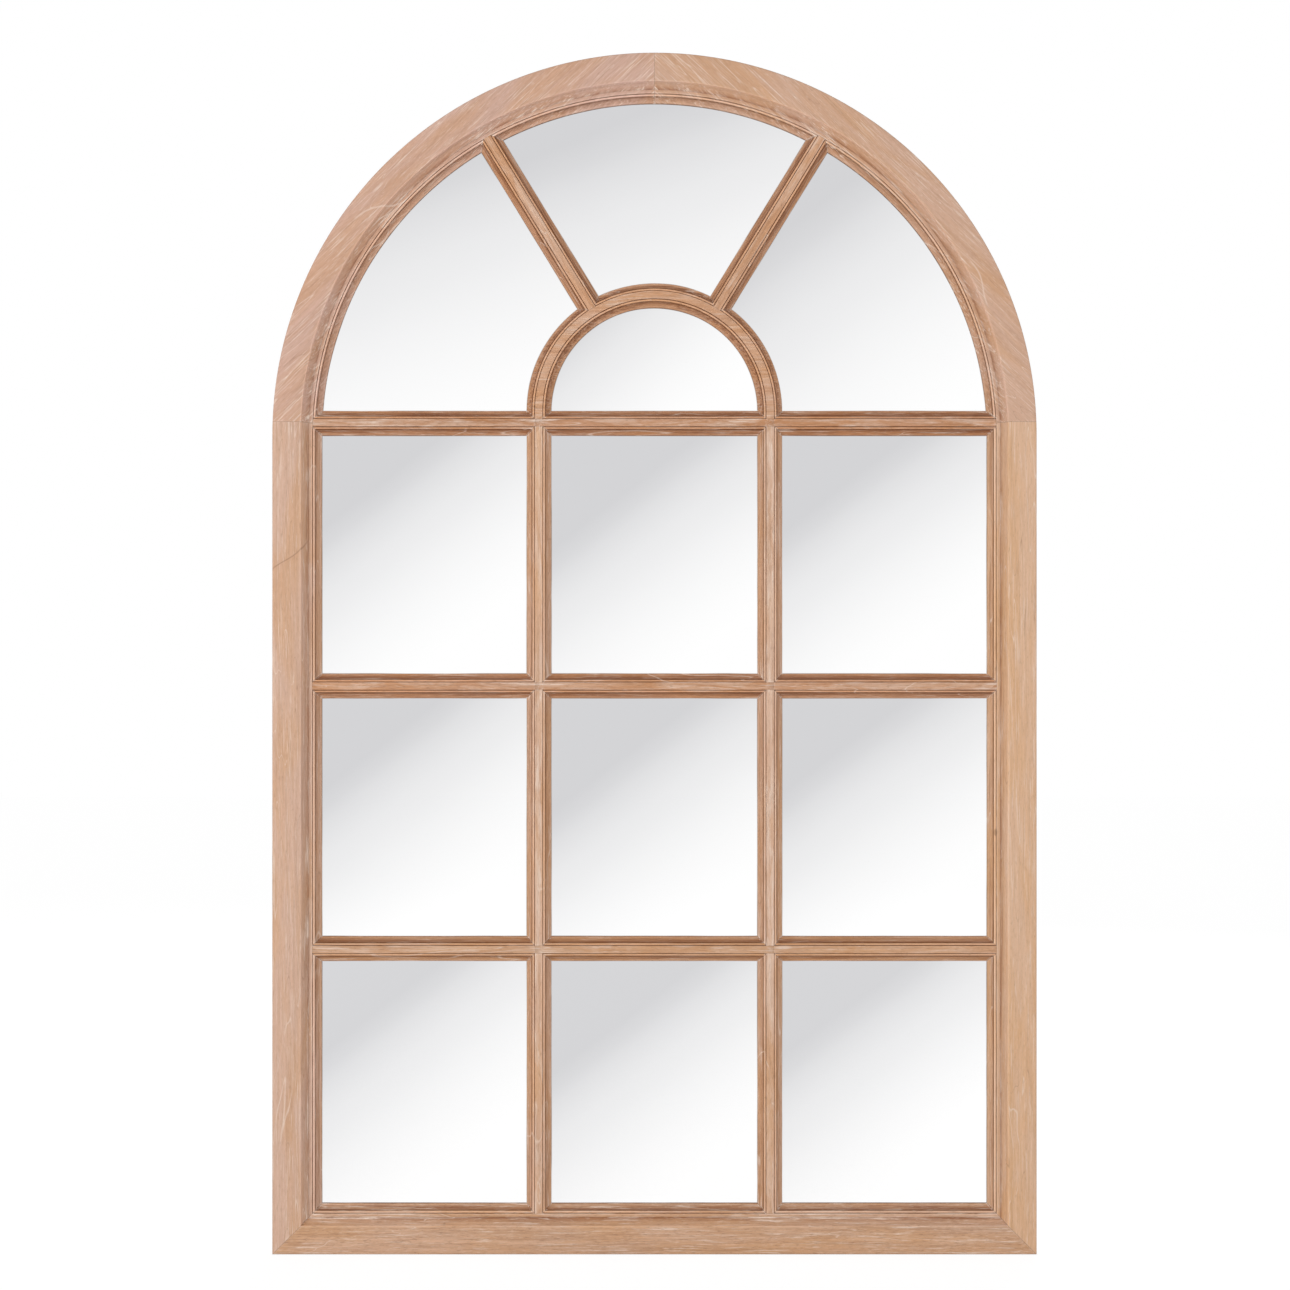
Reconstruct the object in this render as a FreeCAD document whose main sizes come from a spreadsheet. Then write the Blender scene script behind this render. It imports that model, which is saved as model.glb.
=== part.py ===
import FreeCAD, Part
import math
import os
from types import SimpleNamespace

import Sketcher
from FreeCAD import Placement, Rotation, Vector

# Arched window mirror: a moulded timber frame with a glazing-bar fan and thirteen mirror panes.
# Millimetres. X runs to the right seen from the front, Z up from the bottom edge, and the
# front faces -Y. Depths are measured from the wall plane y = 0, so a depth d lies at y = -d.

SIZES = {
    # outline and frame stock
    "overall_width": 1145.0,
    "overall_height": 1800.0,
    "frame_width": 71.0,
    "frame_depth": 32.0,
    "outer_round": 2.5,
    # frame moulding, beyond the sticking that it shares with the bars
    "fillet_width": 5.0,
    "foot_step": 1.2,
    "big_cove_width": 10.0,
    # sticking: the small moulding that runs round every pane
    "lip_height": 2.0,
    "cove_radius": 7.6,
    "groove_width": 2.0,
    "groove_depth": 0.6,
    "bead_width": 2.0,
    "bead_rise": 1.8,
    "quirk_width": 1.4,
    # glazing bars
    "bar_flat": 11.0,
    "bar_height": 12.0,
    "stem_gap": 1.0,
    # layout of the bars
    "transom_rise": 19.5,
    "row_pitch": 396.0,
    "mullion_offset": 174.0,
    "spoke_angle": 58.5,
    # glass and back
    "glass_setback": 24.0,
    "glass_thickness": 4.0,
    "rebate_lap": 9.5,
    "pane_clearance": 0.5,
    "board_thickness": 3.0,
    "board_rebate": 22.5,
    "board_clearance": 0.5,
    # dowels in the frame's own joints
    "dowel_radius": 4.0,
    "dowel_length": 28.0,
    "dowel_spread": 16.0,
    "dowel_edge": 16.25,
    # screws, for the back and for the hangers
    "screw_radius": 1.5,
    "screw_length": 14.0,
    "screw_head_radius": 3.4,
    "screw_head_height": 1.8,
    "arch_screw_low_angle": 25.0,
    "arch_screw_high_angle": 68.0,
    # hangers
    "hanger_drop": 97.5,
    "strap_width": 14.0,
    "strap_thickness": 1.5,
    "strap_length": 48.0,
    "strap_end_clip": 3.5,
    "strap_screw_drop": 23.0,
    "strap_screw_pitch": 18.0,
    "ring_wire_radius": 1.5,
    "ring_eye_clearance": 0.35,
    "ring_half_width": 11.0,
    "ring_corner_radius": 3.5,
    "ring_leg": 6.0,
    # wall bumpers
    "bumper_height": 7.0,
    "bumper_width": 18.0,
    "bumper_inset": 74.0,
    "bumper_arch_angle": 60.0,
}

LEAST_CUT = 1.0  # cubic millimetres
TOUCHING = 0.01  # millimetres
MITRE_ANGLE = 45
RIGHT_ANGLE = 90
COVE_STOPS = (30, 60)  # degrees at which a moulding's quarter curve is faceted
EDGE_STOPS = (45,)
BEND_STOPS = (0, 30, 60)
FASTENER_SIDES = 8
WIRE_SIDES = 8

DOC = FreeCAD.newDocument("arched_window_mirror")
SHEET = DOC.addObject("Spreadsheet::Sheet", "Sizes")
for row, (alias, number) in enumerate(SIZES.items(), start=1):
    SHEET.set(f"A{row}", str(number))
    SHEET.setAlias(f"A{row}", alias)
DOC.recompute()


class Size:
    """A length or an angle that carries its number and the sheet expression it comes from."""

    def __init__(self, number, text):
        self.number = number
        self.text = text

    def __add__(self, other):
        return Size(self.number + number_of(other), f"({self.text} + {text_of(other)})")

    def __radd__(self, other):
        return self + other

    def __sub__(self, other):
        return Size(self.number - number_of(other), f"({self.text} - {text_of(other)})")

    def __rsub__(self, other):
        return -self + other

    def __mul__(self, other):
        return Size(self.number * number_of(other), f"({self.text} * {text_of(other)})")

    def __rmul__(self, other):
        return self * other

    def __truediv__(self, other):
        return Size(self.number / number_of(other), f"({self.text} / {text_of(other)})")

    def __neg__(self):
        return Size(-self.number, f"(-1 * {self.text})")


def number_of(value):
    return value.number if isinstance(value, Size) else float(value)


def text_of(value):
    return value.text if isinstance(value, Size) else f"({float(value)!r})"


def root(value):
    return Size(math.sqrt(value.number), f"sqrt({value.text})")


def sine(angle):
    return Size(math.sin(math.radians(angle.number)), f"sin({angle.text})")


def cosine(angle):
    return Size(math.cos(math.radians(angle.number)), f"cos({angle.text})")


def arcsine(ratio):
    return Size(math.degrees(math.asin(ratio.number)), f"asin({ratio.text})")


def at_least_zero(value):
    return Size(max(value.number, 0.0), f"max({value.text}; 0)")


s = SimpleNamespace(**{name: Size(value, f"Sizes.{name}") for name, value in SIZES.items()})

# Depths from the wall
frame_back = s.bumper_height
front = frame_back + s.frame_depth
glass_front = front - s.glass_setback
glass_back = glass_front - s.glass_thickness
board_back = glass_back - s.board_thickness
bar_front = glass_front + s.bar_height
halving = (glass_back + bar_front) / 2
mid_depth = frame_back + s.frame_depth / 2

# Across a bar, and across the frame outward from its sight edge
sticking = s.cove_radius + s.groove_width + s.bead_width + s.quirk_width
flat_half = s.bar_flat / 2
bar_half = flat_half + sticking
stem_half = bar_half - s.rebate_lap
stem_reach = s.rebate_lap - s.stem_gap
cove_foot = sticking + s.fillet_width
arris = cove_foot + s.big_cove_width
back_centre = (s.board_rebate + s.frame_width) / 2
shelf_centre = (s.rebate_lap + s.board_rebate) / 2
pane_lap = s.rebate_lap - s.pane_clearance
board_lap = s.board_rebate - s.board_clearance

# Heights and radii in the front view
sight_radius = s.overall_width / 2 - s.frame_width
sight_bottom = s.frame_width
arch_z = s.overall_height - s.overall_width / 2
top_z = arch_z + s.transom_rise
middle_z = top_z - s.row_pitch
lower_z = middle_z - s.row_pitch
fan_z = top_z + bar_half
fan_rise = fan_z - arch_z
fan_outer = s.mullion_offset + bar_half
fan_inner = s.mullion_offset - bar_half
spoke_cos = cosine(s.spoke_angle)
spoke_sin = sine(s.spoke_angle)

# Hangers, on the flat back of the stiles
hanger_x = sight_radius + back_centre
hanger_z = arch_z - s.hanger_drop
eye_inner = s.ring_wire_radius + s.ring_eye_clearance
eye_outer = eye_inner + s.strap_thickness
eye_depth = frame_back - eye_outer
strap_end_z = hanger_z - s.strap_length


# ---------------------------------------------------------------- drawing and features

def bind(thing, name, value):
    """Set a property from a size, and keep it tied to the sheet."""
    if isinstance(value, Size):
        thing.setExpression(name, value.text)
    else:
        thing.setExpression(name, repr(float(value)))


def point(corner):
    return Vector(number_of(corner[0]), number_of(corner[1]), 0)


def arc_between(start, end, radius, turn):
    """The short arc from start to end; turn is +1 for anticlockwise and -1 for clockwise."""
    chord = end - start
    left = Vector(-chord.y, chord.x, 0).normalize()
    reach = math.sqrt(max(radius ** 2 - (chord.Length / 2) ** 2, 0.0))
    centre = start + chord * 0.5 + left * (turn * reach)
    first, last = (start, end) if turn > 0 else (end, start)
    angles = [math.atan2(p.y - centre.y, p.x - centre.x) for p in (first, last)]
    return Part.ArcOfCircle(Part.Circle(centre, Vector(0, 0, 1), radius), *angles)


class Drawing:
    """Collects a sketch's geometry, its constraints and the expressions they are bound to."""

    def __init__(self, sketch):
        self.sketch = sketch
        self.constraints = []
        self.bindings = []

    def measure(self, kind, *where, size):
        self.bindings.append((len(self.constraints), size))
        self.constraints.append(Sketcher.Constraint(kind, *where, number_of(size)))

    def pin(self, geometry, end, corner):
        """Hold a point at its two coordinates; a plain zero puts it on the axis."""
        for kind, axis, size in (("DistanceX", -2, corner[0]), ("DistanceY", -1, corner[1])):
            if isinstance(size, Size):
                self.measure(kind, -1, 1, geometry, end, size=size)
            else:
                self.constraints.append(Sketcher.Constraint("PointOnObject", geometry, end, axis))

    def loop(self, corners):
        """A closed outline; a corner given as (x, y, radius, turn) starts an arc."""
        edges = []
        for here, there in zip(corners, corners[1:] + corners[:1]):
            if len(here) == 2:
                index = self.sketch.addGeometry(Part.LineSegment(point(here), point(there)), False)
                edges.append((index, 1, 2))
                continue
            radius, turn = here[2], here[3]
            arc = arc_between(point(here), point(there), number_of(radius), turn)
            index = self.sketch.addGeometry(arc, False)
            edges.append((index, 1, 2) if turn > 0 else (index, 2, 1))
            self.measure("Radius", index, size=radius)
        for (before, _, end), (after, start, _) in zip(edges, edges[1:] + edges[:1]):
            self.constraints.append(Sketcher.Constraint("Coincident", before, end, after, start))
        for (index, start, _), corner in zip(edges, corners):
            self.pin(index, start, corner)

    def circle(self, x, y, radius):
        centre = Vector(number_of(x), number_of(y), 0)
        round_edge = Part.Circle(centre, Vector(0, 0, 1), number_of(radius))
        index = self.sketch.addGeometry(round_edge, False)
        self.measure("Radius", index, size=radius)
        self.pin(index, 3, (x, y))

    def finish(self):
        self.sketch.addConstraint(self.constraints)
        for index, size in self.bindings:
            bind(self.sketch, f"Constraints[{index}]", size)


def new_body(label):
    body = DOC.addObject("PartDesign::Body", label + "_body")
    body.Label = label
    return body


def draw(body, name, role, loops=(), circles=(), offset=0):
    """A sketch on one of the body's own origin planes, moved along that plane's normal."""
    plane = next(item for item in body.Origin.OriginFeatures if item.Role == role)
    sketch = body.newObject("Sketcher::SketchObject", name)
    sketch.AttachmentSupport = [(plane, "")]
    sketch.MapMode = "FlatFace"
    bind(sketch, "AttachmentOffset.Base.z", offset)
    drawing = Drawing(sketch)
    for corners in loops:
        drawing.loop(list(corners))
    for x, y, radius in circles:
        drawing.circle(x, y, radius)
    drawing.finish()
    return sketch


def pad(body, sketch, length, midplane=False, backward=False):
    feature = body.newObject("PartDesign::Pad", "Pad")
    feature.Profile = sketch
    bind(feature, "Length", length)
    feature.Midplane = midplane
    feature.Reversed = backward
    DOC.recompute()
    return feature


def revolve(body, sketch, angle):
    """Turn a section about the upright axis of its sketch, from +X towards +Z."""
    feature = body.newObject("PartDesign::Revolution", "Revolution")
    feature.Profile = sketch
    feature.ReferenceAxis = (sketch, ["V_Axis"])
    bind(feature, "Angle", angle)
    feature.Reversed = True
    DOC.recompute()
    return feature


def pocket(body, sketch, depth=None, forward=False):
    """Cut towards the wall, or forward from the wall; no depth goes right through."""
    before = body.Shape.Volume
    feature = body.newObject("PartDesign::Pocket", "Pocket")
    feature.Profile = sketch
    if depth is None:
        feature.Type = "ThroughAll"
        feature.Midplane = True
    else:
        bind(feature, "Length", depth)
        feature.Reversed = forward
    DOC.recompute()
    if body.Shape.isNull() or body.Shape.Volume > before - LEAST_CUT:
        raise RuntimeError(f"{body.Label}: {sketch.Label} cuts nothing")
    return feature


def mirrored(source, label):
    twin = DOC.addObject("Part::Mirroring", label)
    twin.Label = label
    twin.Source = source
    twin.Normal = Vector(1, 0, 0)
    return twin


def drilled(source, label, tool):
    """The piece with the holes that its screws and dowels fill."""
    cut = DOC.addObject("Part::Cut", label)
    cut.Label = label
    cut.Base = source
    cut.Tool = tool
    return cut


def group(label, pieces):
    compound = DOC.addObject("Part::Compound", label)
    compound.Label = label
    compound.Links = pieces
    return compound


# ---------------------------------------------------------------- moulding sections

def quarter_curve(across, depth, width, rise, stops):
    """Corners along a quarter curve that leaves its start flat and ends upright."""
    turns = [math.radians(stop) for stop in stops]
    inner = [(across + width * math.sin(turn), depth + rise * (1 - math.cos(turn))) for turn in turns]
    return [(across, depth)] + inner + [(across + width, depth + rise)]


def sticking_points(edge, inward):
    """The sticking from the glass up to the flat, as (across, depth) corners."""
    lip_top = glass_front + s.lip_height
    cove_top = lip_top + s.cove_radius
    bead_top = cove_top + s.bead_rise
    groove = s.cove_radius + s.groove_width / 2
    bead_start = s.cove_radius + s.groove_width
    bead_end = bead_start + s.bead_width
    cove = quarter_curve(edge, lip_top, s.cove_radius * inward, s.cove_radius, COVE_STOPS)
    return [(edge, glass_front)] + cove + [
        (edge + groove * inward, cove_top - s.groove_depth),
        (edge + bead_start * inward, bead_top),
        (edge + bead_end * inward, bead_top),
        (edge + (bead_end + s.quirk_width / 2) * inward, cove_top),
        (edge + (bead_end + s.quirk_width) * inward, bar_front),
    ]


def frame_section(edge, outward):
    """The frame's section as (across, depth) corners, from its sight edge outward."""
    foot = (edge + cove_foot * outward, bar_front + s.foot_step)
    cove = quarter_curve(*foot, s.big_cove_width * outward, front - foot[1], COVE_STOPS)
    round_start = edge + (s.frame_width - s.outer_round) * outward
    outer_edge = quarter_curve(round_start, front, s.outer_round * outward, -s.outer_round, EDGE_STOPS)
    return sticking_points(edge, outward) + [(foot[0], bar_front)] + cove + outer_edge + [
        (edge + s.frame_width * outward, frame_back),
        (edge + s.board_rebate * outward, frame_back),
        (edge + s.board_rebate * outward, glass_back),
        (edge + s.rebate_lap * outward, glass_back),
        (edge + s.rebate_lap * outward, glass_front),
    ]


def flange_section(centre):
    """The moulded front of a bar, which laps over the glass on both sides."""
    return sticking_points(centre - bar_half, 1) + sticking_points(centre + bar_half, -1)[::-1]


def stem_section(centre):
    """The stem of a bar, which stands between two panes."""
    return [
        (centre - stem_half, glass_back),
        (centre + stem_half, glass_back),
        (centre + stem_half, glass_front),
        (centre - stem_half, glass_front),
    ]


def across_x(section):
    """A section drawn on the XY plane, its width along X."""
    return [(across, -depth) for across, depth in section]


def across_z(section):
    """A section drawn on the YZ plane, its width along Z."""
    return [(-depth, across) for across, depth in section]


# ---------------------------------------------------------------- mitred joints of the bars

def shifted(corner, direction, distance):
    return tuple(value + step * distance for value, step in zip(corner, direction))


def notch(tee, direction):
    """The seat of a bar's mitred end in the sticking that it meets."""
    near, near_quirk, far_quirk, far = tee
    return [
        shifted(near, direction, -s.rebate_lap),
        near,
        near_quirk,
        far_quirk,
        far,
        shifted(far, direction, -s.rebate_lap),
    ]


def trim(tee, direction):
    """What is cut from a square bar end to leave the mitred end that fits the notch."""
    near, near_quirk, far_quirk, far = tee
    beyond = sticking * 2
    return [near, shifted(near, direction, beyond), shifted(far, direction, beyond), far,
            far_quirk, near_quirk]


def frame_edge(outward, height):
    """How far out the frame's line at this distance from the sight edge lies at a height."""
    rise = at_least_zero(height - arch_z)
    reach = sight_radius + outward
    return root(reach * reach - rise * rise)


def transom_tee(height, side):
    """A transom's end against the frame: side is +1 on the right and -1 on the left."""
    offsets = ((0, bar_half), (sticking, flat_half), (sticking, -flat_half), (0, -bar_half))
    return [(frame_edge(out, height + rise) * side, height + rise) for out, rise in offsets]


def upright_tee(x, sight_z, way):
    """An upright bar's end against a straight sight edge; way is +1 where the bar ends upward."""
    offsets = ((0, -bar_half), (sticking, -flat_half), (sticking, flat_half), (0, bar_half))
    return [(x + across, sight_z + deep * way) for deep, across in offsets]


def along_circle(radius, across):
    """How far along the spoke a line beside its axis meets a circle round the fan's centre."""
    return root(radius * radius - across * across)


def along_frame(radius, across):
    """How far along the spoke a line beside its axis meets a circle round the arch's centre."""
    sideways = across - fan_rise * spoke_cos
    return root(radius * radius - sideways * sideways) - fan_rise * spoke_sin


def spoke_tees():
    """The spoke's foot on the fan arch and its head on the frame, as (across, along) corners."""
    sides = (-bar_half, -flat_half, flat_half, bar_half)
    foot_radii = (fan_outer, fan_outer - sticking, fan_outer - sticking, fan_outer)
    head_radii = (sight_radius, sight_radius + sticking, sight_radius + sticking, sight_radius)
    foot = [(side, along_circle(radius, side)) for side, radius in zip(sides, foot_radii)]
    head = [(side, along_frame(radius, side)) for side, radius in zip(sides, head_radii)]
    return foot, head


def on_spoke(corner, side=1):
    """A spoke's own (across, along) point in the front view."""
    across, along = corner
    return ((along * spoke_cos + across * spoke_sin) * side,
            fan_z + along * spoke_sin - across * spoke_cos)


def halving_notches(x, z, along_bar):
    """The two mitred notches in the sticking of a bar where another crosses it."""
    loops = []
    for way in (1, -1):
        wide = [(-bar_half, bar_half * way), (-flat_half, flat_half * way),
                (flat_half, flat_half * way), (bar_half, bar_half * way)]
        wide += [(bar_half, (bar_half + s.rebate_lap) * way), (-bar_half, (bar_half + s.rebate_lap) * way)]
        loops.append([(x + a, z + b) if along_bar == "x" else (x + b, z + a) for a, b in wide])
    return loops


def rectangle(left, right, bottom, top):
    return [(left, bottom), (right, bottom), (right, top), (left, top)]


def slot(x_centre, z_centre, x_half, z_half):
    return rectangle(x_centre - x_half, x_centre + x_half, z_centre - z_half, z_centre + z_half)


# ---------------------------------------------------------------- frame

RIGHT = (1, 0)
UP = (0, 1)
DOWN = (0, -1)
corner_x = s.overall_width / 2
stock_overrun = s.frame_width
joint_sides = (sight_radius - stock_overrun, corner_x + stock_overrun)


def make_stile():
    """The right stile: mitred at its foot, and squared off where the arch stands on it."""
    body = new_body("stile_stock")
    section = across_x(frame_section(sight_radius, 1))
    pad(body, draw(body, "Section", "XY_Plane", [section]), arch_z)
    curved_stock = arcsine((s.transom_rise + sticking) / sight_radius)
    revolve(body, draw(body, "CurveSection", "XY_Plane", [section], offset=arch_z), curved_stock)
    above = rectangle(*joint_sides, top_z, top_z + stock_overrun)
    pocket(body, draw(body, "TopJoint", "XZ_Plane", [above]))
    mitre = [(sight_radius, 0), (corner_x, 0), (sight_radius, s.frame_width)]
    pocket(body, draw(body, "Mitre", "XZ_Plane", [mitre]))
    tees = [transom_tee(height, 1) for height in (lower_z, middle_z, top_z)]
    seats = draw(body, "BarSeats", "XZ_Plane", [notch(tee, RIGHT) for tee in tees], offset=front)
    pocket(body, seats, s.glass_setback)
    return body


def make_arch():
    """The right half of the arch, from the top of the stile to the crown."""
    body = new_body("arch_stock")
    section = across_x(frame_section(sight_radius, 1))
    revolve(body, draw(body, "Section", "XY_Plane", [section], offset=arch_z), 90)
    below = rectangle(*joint_sides, top_z - stock_overrun, top_z)
    pocket(body, draw(body, "SpringJoint", "XZ_Plane", [below]))
    head = [on_spoke(corner) for corner in spoke_tees()[1]]
    seats = [notch(transom_tee(top_z, 1), RIGHT), notch(head, (spoke_cos, spoke_sin))]
    pocket(body, draw(body, "BarSeats", "XZ_Plane", seats, offset=front), s.glass_setback)
    return body


def make_rail():
    """The bottom rail, mitred at both ends."""
    body = new_body("rail_stock")
    section = across_z(frame_section(sight_bottom, -1))
    pad(body, draw(body, "Section", "YZ_Plane", [section]), s.overall_width, midplane=True)
    mitres = [[(corner_x * side, 0), (corner_x * side, s.frame_width),
               (sight_radius * side, s.frame_width)] for side in (1, -1)]
    pocket(body, draw(body, "Mitres", "XZ_Plane", mitres))
    tees = [upright_tee(s.mullion_offset * side, sight_bottom, -1) for side in (1, -1)]
    seats = draw(body, "BarSeats", "XZ_Plane", [notch(tee, DOWN) for tee in tees], offset=front)
    pocket(body, seats, s.glass_setback)
    return body


# ---------------------------------------------------------------- glazing bars

def make_transom(label, height, crossed):
    """A transom runs right through at the front; mullions cross behind it or stop below it."""
    body = new_body(label)
    flange = draw(body, "Flange", "YZ_Plane", [across_z(flange_section(height))])
    pad(body, flange, (sight_radius + sticking) * 2, midplane=True)
    stem = draw(body, "Stem", "YZ_Plane", [across_z(stem_section(height))])
    pad(body, stem, (sight_radius + stem_reach) * 2, midplane=True)
    cuts = [trim(transom_tee(height, side), (side, 0)) for side in (1, -1)]
    for side in (1, -1):
        x = s.mullion_offset * side
        if crossed:
            cuts += halving_notches(x, height, "x")
        else:
            cuts.append(notch(upright_tee(x, height - bar_half, 1), UP))
            cuts.append(notch(upright_tee(x, height + bar_half, -1), DOWN))
    pocket(body, draw(body, "Mitres", "XZ_Plane", cuts, offset=bar_front), s.bar_height)
    if crossed:
        uprights = [s.mullion_offset, -s.mullion_offset]
        lap = [slot(x, height, flat_half, bar_half) for x in uprights]
        lap_sketch = draw(body, "HalvingLap", "XZ_Plane", lap, offset=glass_back)
        pocket(body, lap_sketch, halving - glass_back, forward=True)
        gap = [slot(x, height, stem_half, bar_half) for x in uprights]
        gap_sketch = draw(body, "StemGap", "XZ_Plane", gap, offset=glass_back)
        pocket(body, gap_sketch, s.glass_thickness, forward=True)
    return body


def make_mullion(label, side):
    """A mullion, from the bottom rail to the top transom, lapped behind two transoms."""
    body = new_body(label)
    x = s.mullion_offset * side
    ends = (sight_bottom, top_z - bar_half)
    flange = draw(body, "Flange", "XY_Plane", [across_x(flange_section(x))], offset=ends[0] - sticking)
    pad(body, flange, ends[1] - ends[0] + sticking * 2)
    stem = draw(body, "Stem", "XY_Plane", [across_x(stem_section(x))], offset=ends[0] - stem_reach)
    pad(body, stem, ends[1] - ends[0] + stem_reach * 2)
    cuts = [trim(upright_tee(x, ends[0], -1), DOWN), trim(upright_tee(x, ends[1], 1), UP)]
    for height in (lower_z, middle_z):
        cuts += halving_notches(x, height, "z")
    pocket(body, draw(body, "Mitres", "XZ_Plane", cuts, offset=bar_front), s.bar_height)
    lap = [slot(x, height, bar_half, flat_half) for height in (lower_z, middle_z)]
    pocket(body, draw(body, "HalvingLap", "XZ_Plane", lap, offset=bar_front), bar_front - halving)
    return body


def make_fan_arch():
    """The half-round bar of the fan, standing on the top transom over the two mullions."""
    body = new_body("fan_arch")
    radius = s.mullion_offset
    section = draw(body, "RingFlange", "XY_Plane", [across_x(flange_section(radius))], offset=fan_z)
    revolve(body, section, 180)
    stem = draw(body, "RingStem", "XY_Plane", [across_x(stem_section(radius))], offset=fan_z)
    revolve(body, stem, 180)
    feet = [across_x(flange_section(radius * side)) for side in (1, -1)]
    pad(body, draw(body, "Feet", "XY_Plane", feet, offset=fan_z), sticking, backward=True)
    tenons = [across_x(stem_section(radius * side)) for side in (1, -1)]
    pad(body, draw(body, "FootStems", "XY_Plane", tenons, offset=fan_z), stem_reach, backward=True)
    cuts = [trim(upright_tee(radius * side, fan_z, -1), DOWN) for side in (1, -1)]
    for side in (1, -1):
        foot = [on_spoke(corner, side) for corner in spoke_tees()[0]]
        cuts.append(notch(foot, (-spoke_cos * side, -spoke_sin)))
    pocket(body, draw(body, "Mitres", "XZ_Plane", cuts, offset=bar_front), s.bar_height)
    return body


def make_spoke():
    """The right spoke, drawn upright from the fan's centre and leaned over by its placement."""
    body = new_body("spoke_stock")
    spoke_overrun = flat_half
    foot, head = spoke_tees()
    start = fan_outer - sticking - spoke_overrun
    end = along_frame(sight_radius, -bar_half) + sticking + spoke_overrun
    flange = draw(body, "Flange", "XY_Plane", [across_x(flange_section(Size(0.0, "0")))], offset=start)
    pad(body, flange, end - start)
    cuts = [trim(foot, DOWN), trim(head, UP)]
    pocket(body, draw(body, "Mitres", "XZ_Plane", cuts, offset=bar_front), s.bar_height)
    stem_start = fan_outer - stem_reach
    stem_end = along_frame(sight_radius + stem_reach, -stem_half)
    stem = draw(body, "Stem", "XY_Plane", [across_x(stem_section(Size(0.0, "0")))], offset=stem_start)
    pad(body, stem, stem_end - stem_start)
    body.setExpression("Placement.Base.z", fan_z.text)
    body.Placement = Placement(Vector(0, 0, fan_z.number), Rotation(Vector(0, 1, 0), 1))
    body.setExpression("Placement.Rotation.Angle", (-s.spoke_angle + 90).text)
    return body


# ---------------------------------------------------------------- mirror panes and back

def make_sheet(label, loop, depth, thickness):
    """A flat sheet parallel to the wall."""
    body = new_body(label)
    pad(body, draw(body, "Outline", "XZ_Plane", [loop], offset=depth), thickness)
    return body


def make_panes():
    """Nine rectangular panes, the lunette and the three sectors of the fan."""
    inner = s.mullion_offset - bar_half + pane_lap
    outer = s.mullion_offset + bar_half - pane_lap
    side = sight_radius + pane_lap
    columns = {"left": (-side, -outer), "centre": (-inner, inner), "right": (outer, side)}
    clear = bar_half - pane_lap
    rows = {
        "bottom": (sight_bottom - pane_lap, lower_z - clear),
        "middle": (lower_z + clear, middle_z - clear),
        "upper": (middle_z + clear, top_z - clear),
    }
    loops = {f"pane_{row}_{column}": rectangle(*columns[column], *rows[row])
             for row in rows for column in columns}

    floor = fan_z - pane_lap
    arc_radius = fan_inner + pane_lap
    half_floor = root(arc_radius * arc_radius - pane_lap * pane_lap)
    loops["pane_lunette"] = [
        (-half_floor, floor),
        (half_floor, floor, arc_radius, 1),
        (0, fan_z + arc_radius, arc_radius, 1),
    ]

    near = fan_outer - pane_lap
    far = sight_radius + pane_lap
    floor_rise = floor - arch_z
    for name, way in (("right", 1), ("left", -1)):
        low_near = (root(near * near - pane_lap * pane_lap) * way, floor)
        low_far = (root(far * far - floor_rise * floor_rise) * way, floor)
        high_far = on_spoke((clear, along_frame(far, clear)), way)
        high_near = on_spoke((clear, along_circle(near, clear)), way)
        loops[f"pane_fan_{name}"] = [
            low_near,
            low_far + (far, way),
            high_far,
            high_near + (near, -way),
        ]
    head = (-clear, along_frame(far, -clear))
    foot = (-clear, along_circle(near, -clear))
    loops["pane_fan_crown"] = [
        on_spoke(foot),
        on_spoke(head) + (far, 1),
        on_spoke(head, -1),
        on_spoke(foot, -1) + (near, -1),
    ]
    return [make_sheet(label, loop, glass_back, s.glass_thickness) for label, loop in loops.items()]


def make_board():
    """The backing board, arched like the frame, in the rear rebate."""
    half = sight_radius + board_lap
    loop = [
        (-half, sight_bottom - board_lap),
        (half, sight_bottom - board_lap),
        (half, arch_z, half, 1),
        (0, arch_z + half, half, 1),
        (-half, arch_z),
    ]
    return make_sheet("board_stock", loop, board_back, s.board_thickness)


# ---------------------------------------------------------------- dowels, screws and bumpers

def place(thing, x, depth, z, axis, degrees):
    """Stand a primitive at a point, turned about an axis through it."""
    thing.Placement = Placement(Vector(), Rotation(axis, degrees))
    bind(thing, "Placement.Base.x", x)
    bind(thing, "Placement.Base.y", -depth)
    bind(thing, "Placement.Base.z", z)


def rod(name, radius, length):
    """A peg, pin or head, upright from its base at the origin."""
    peg = DOC.addObject("Part::Prism", name)
    peg.Polygon = FASTENER_SIDES
    bind(peg, "Circumradius", radius)
    bind(peg, "Height", length)
    return peg


def dowel(x, z, lean):
    """A dowel centred on a joint, leaning from upright in the plane of the frame."""
    pin = rod("Dowel", s.dowel_radius, s.dowel_length)
    half = s.dowel_length / 2
    start_x = x - half * math.sin(math.radians(lean))
    start_z = z - half * math.cos(math.radians(lean))
    place(pin, start_x, mid_depth, start_z, Vector(0, 1, 0), lean)
    return pin


def make_dowels():
    """Two dowels in each corner mitre, each springing joint and the crown joint."""
    pins = []
    outer = s.frame_width - s.dowel_edge
    for across in (outer - s.dowel_spread, outer):
        for side in (1, -1):
            pins.append(dowel((sight_radius + across) * side, s.frame_width - across, MITRE_ANGLE * side))
            pins.append(dowel((sight_radius + across) * side, top_z, 0))
        pins.append(dowel(Size(0.0, "0"), arch_z + sight_radius + across, RIGHT_ANGLE))
    return group("frame_dowels", pins)


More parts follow.
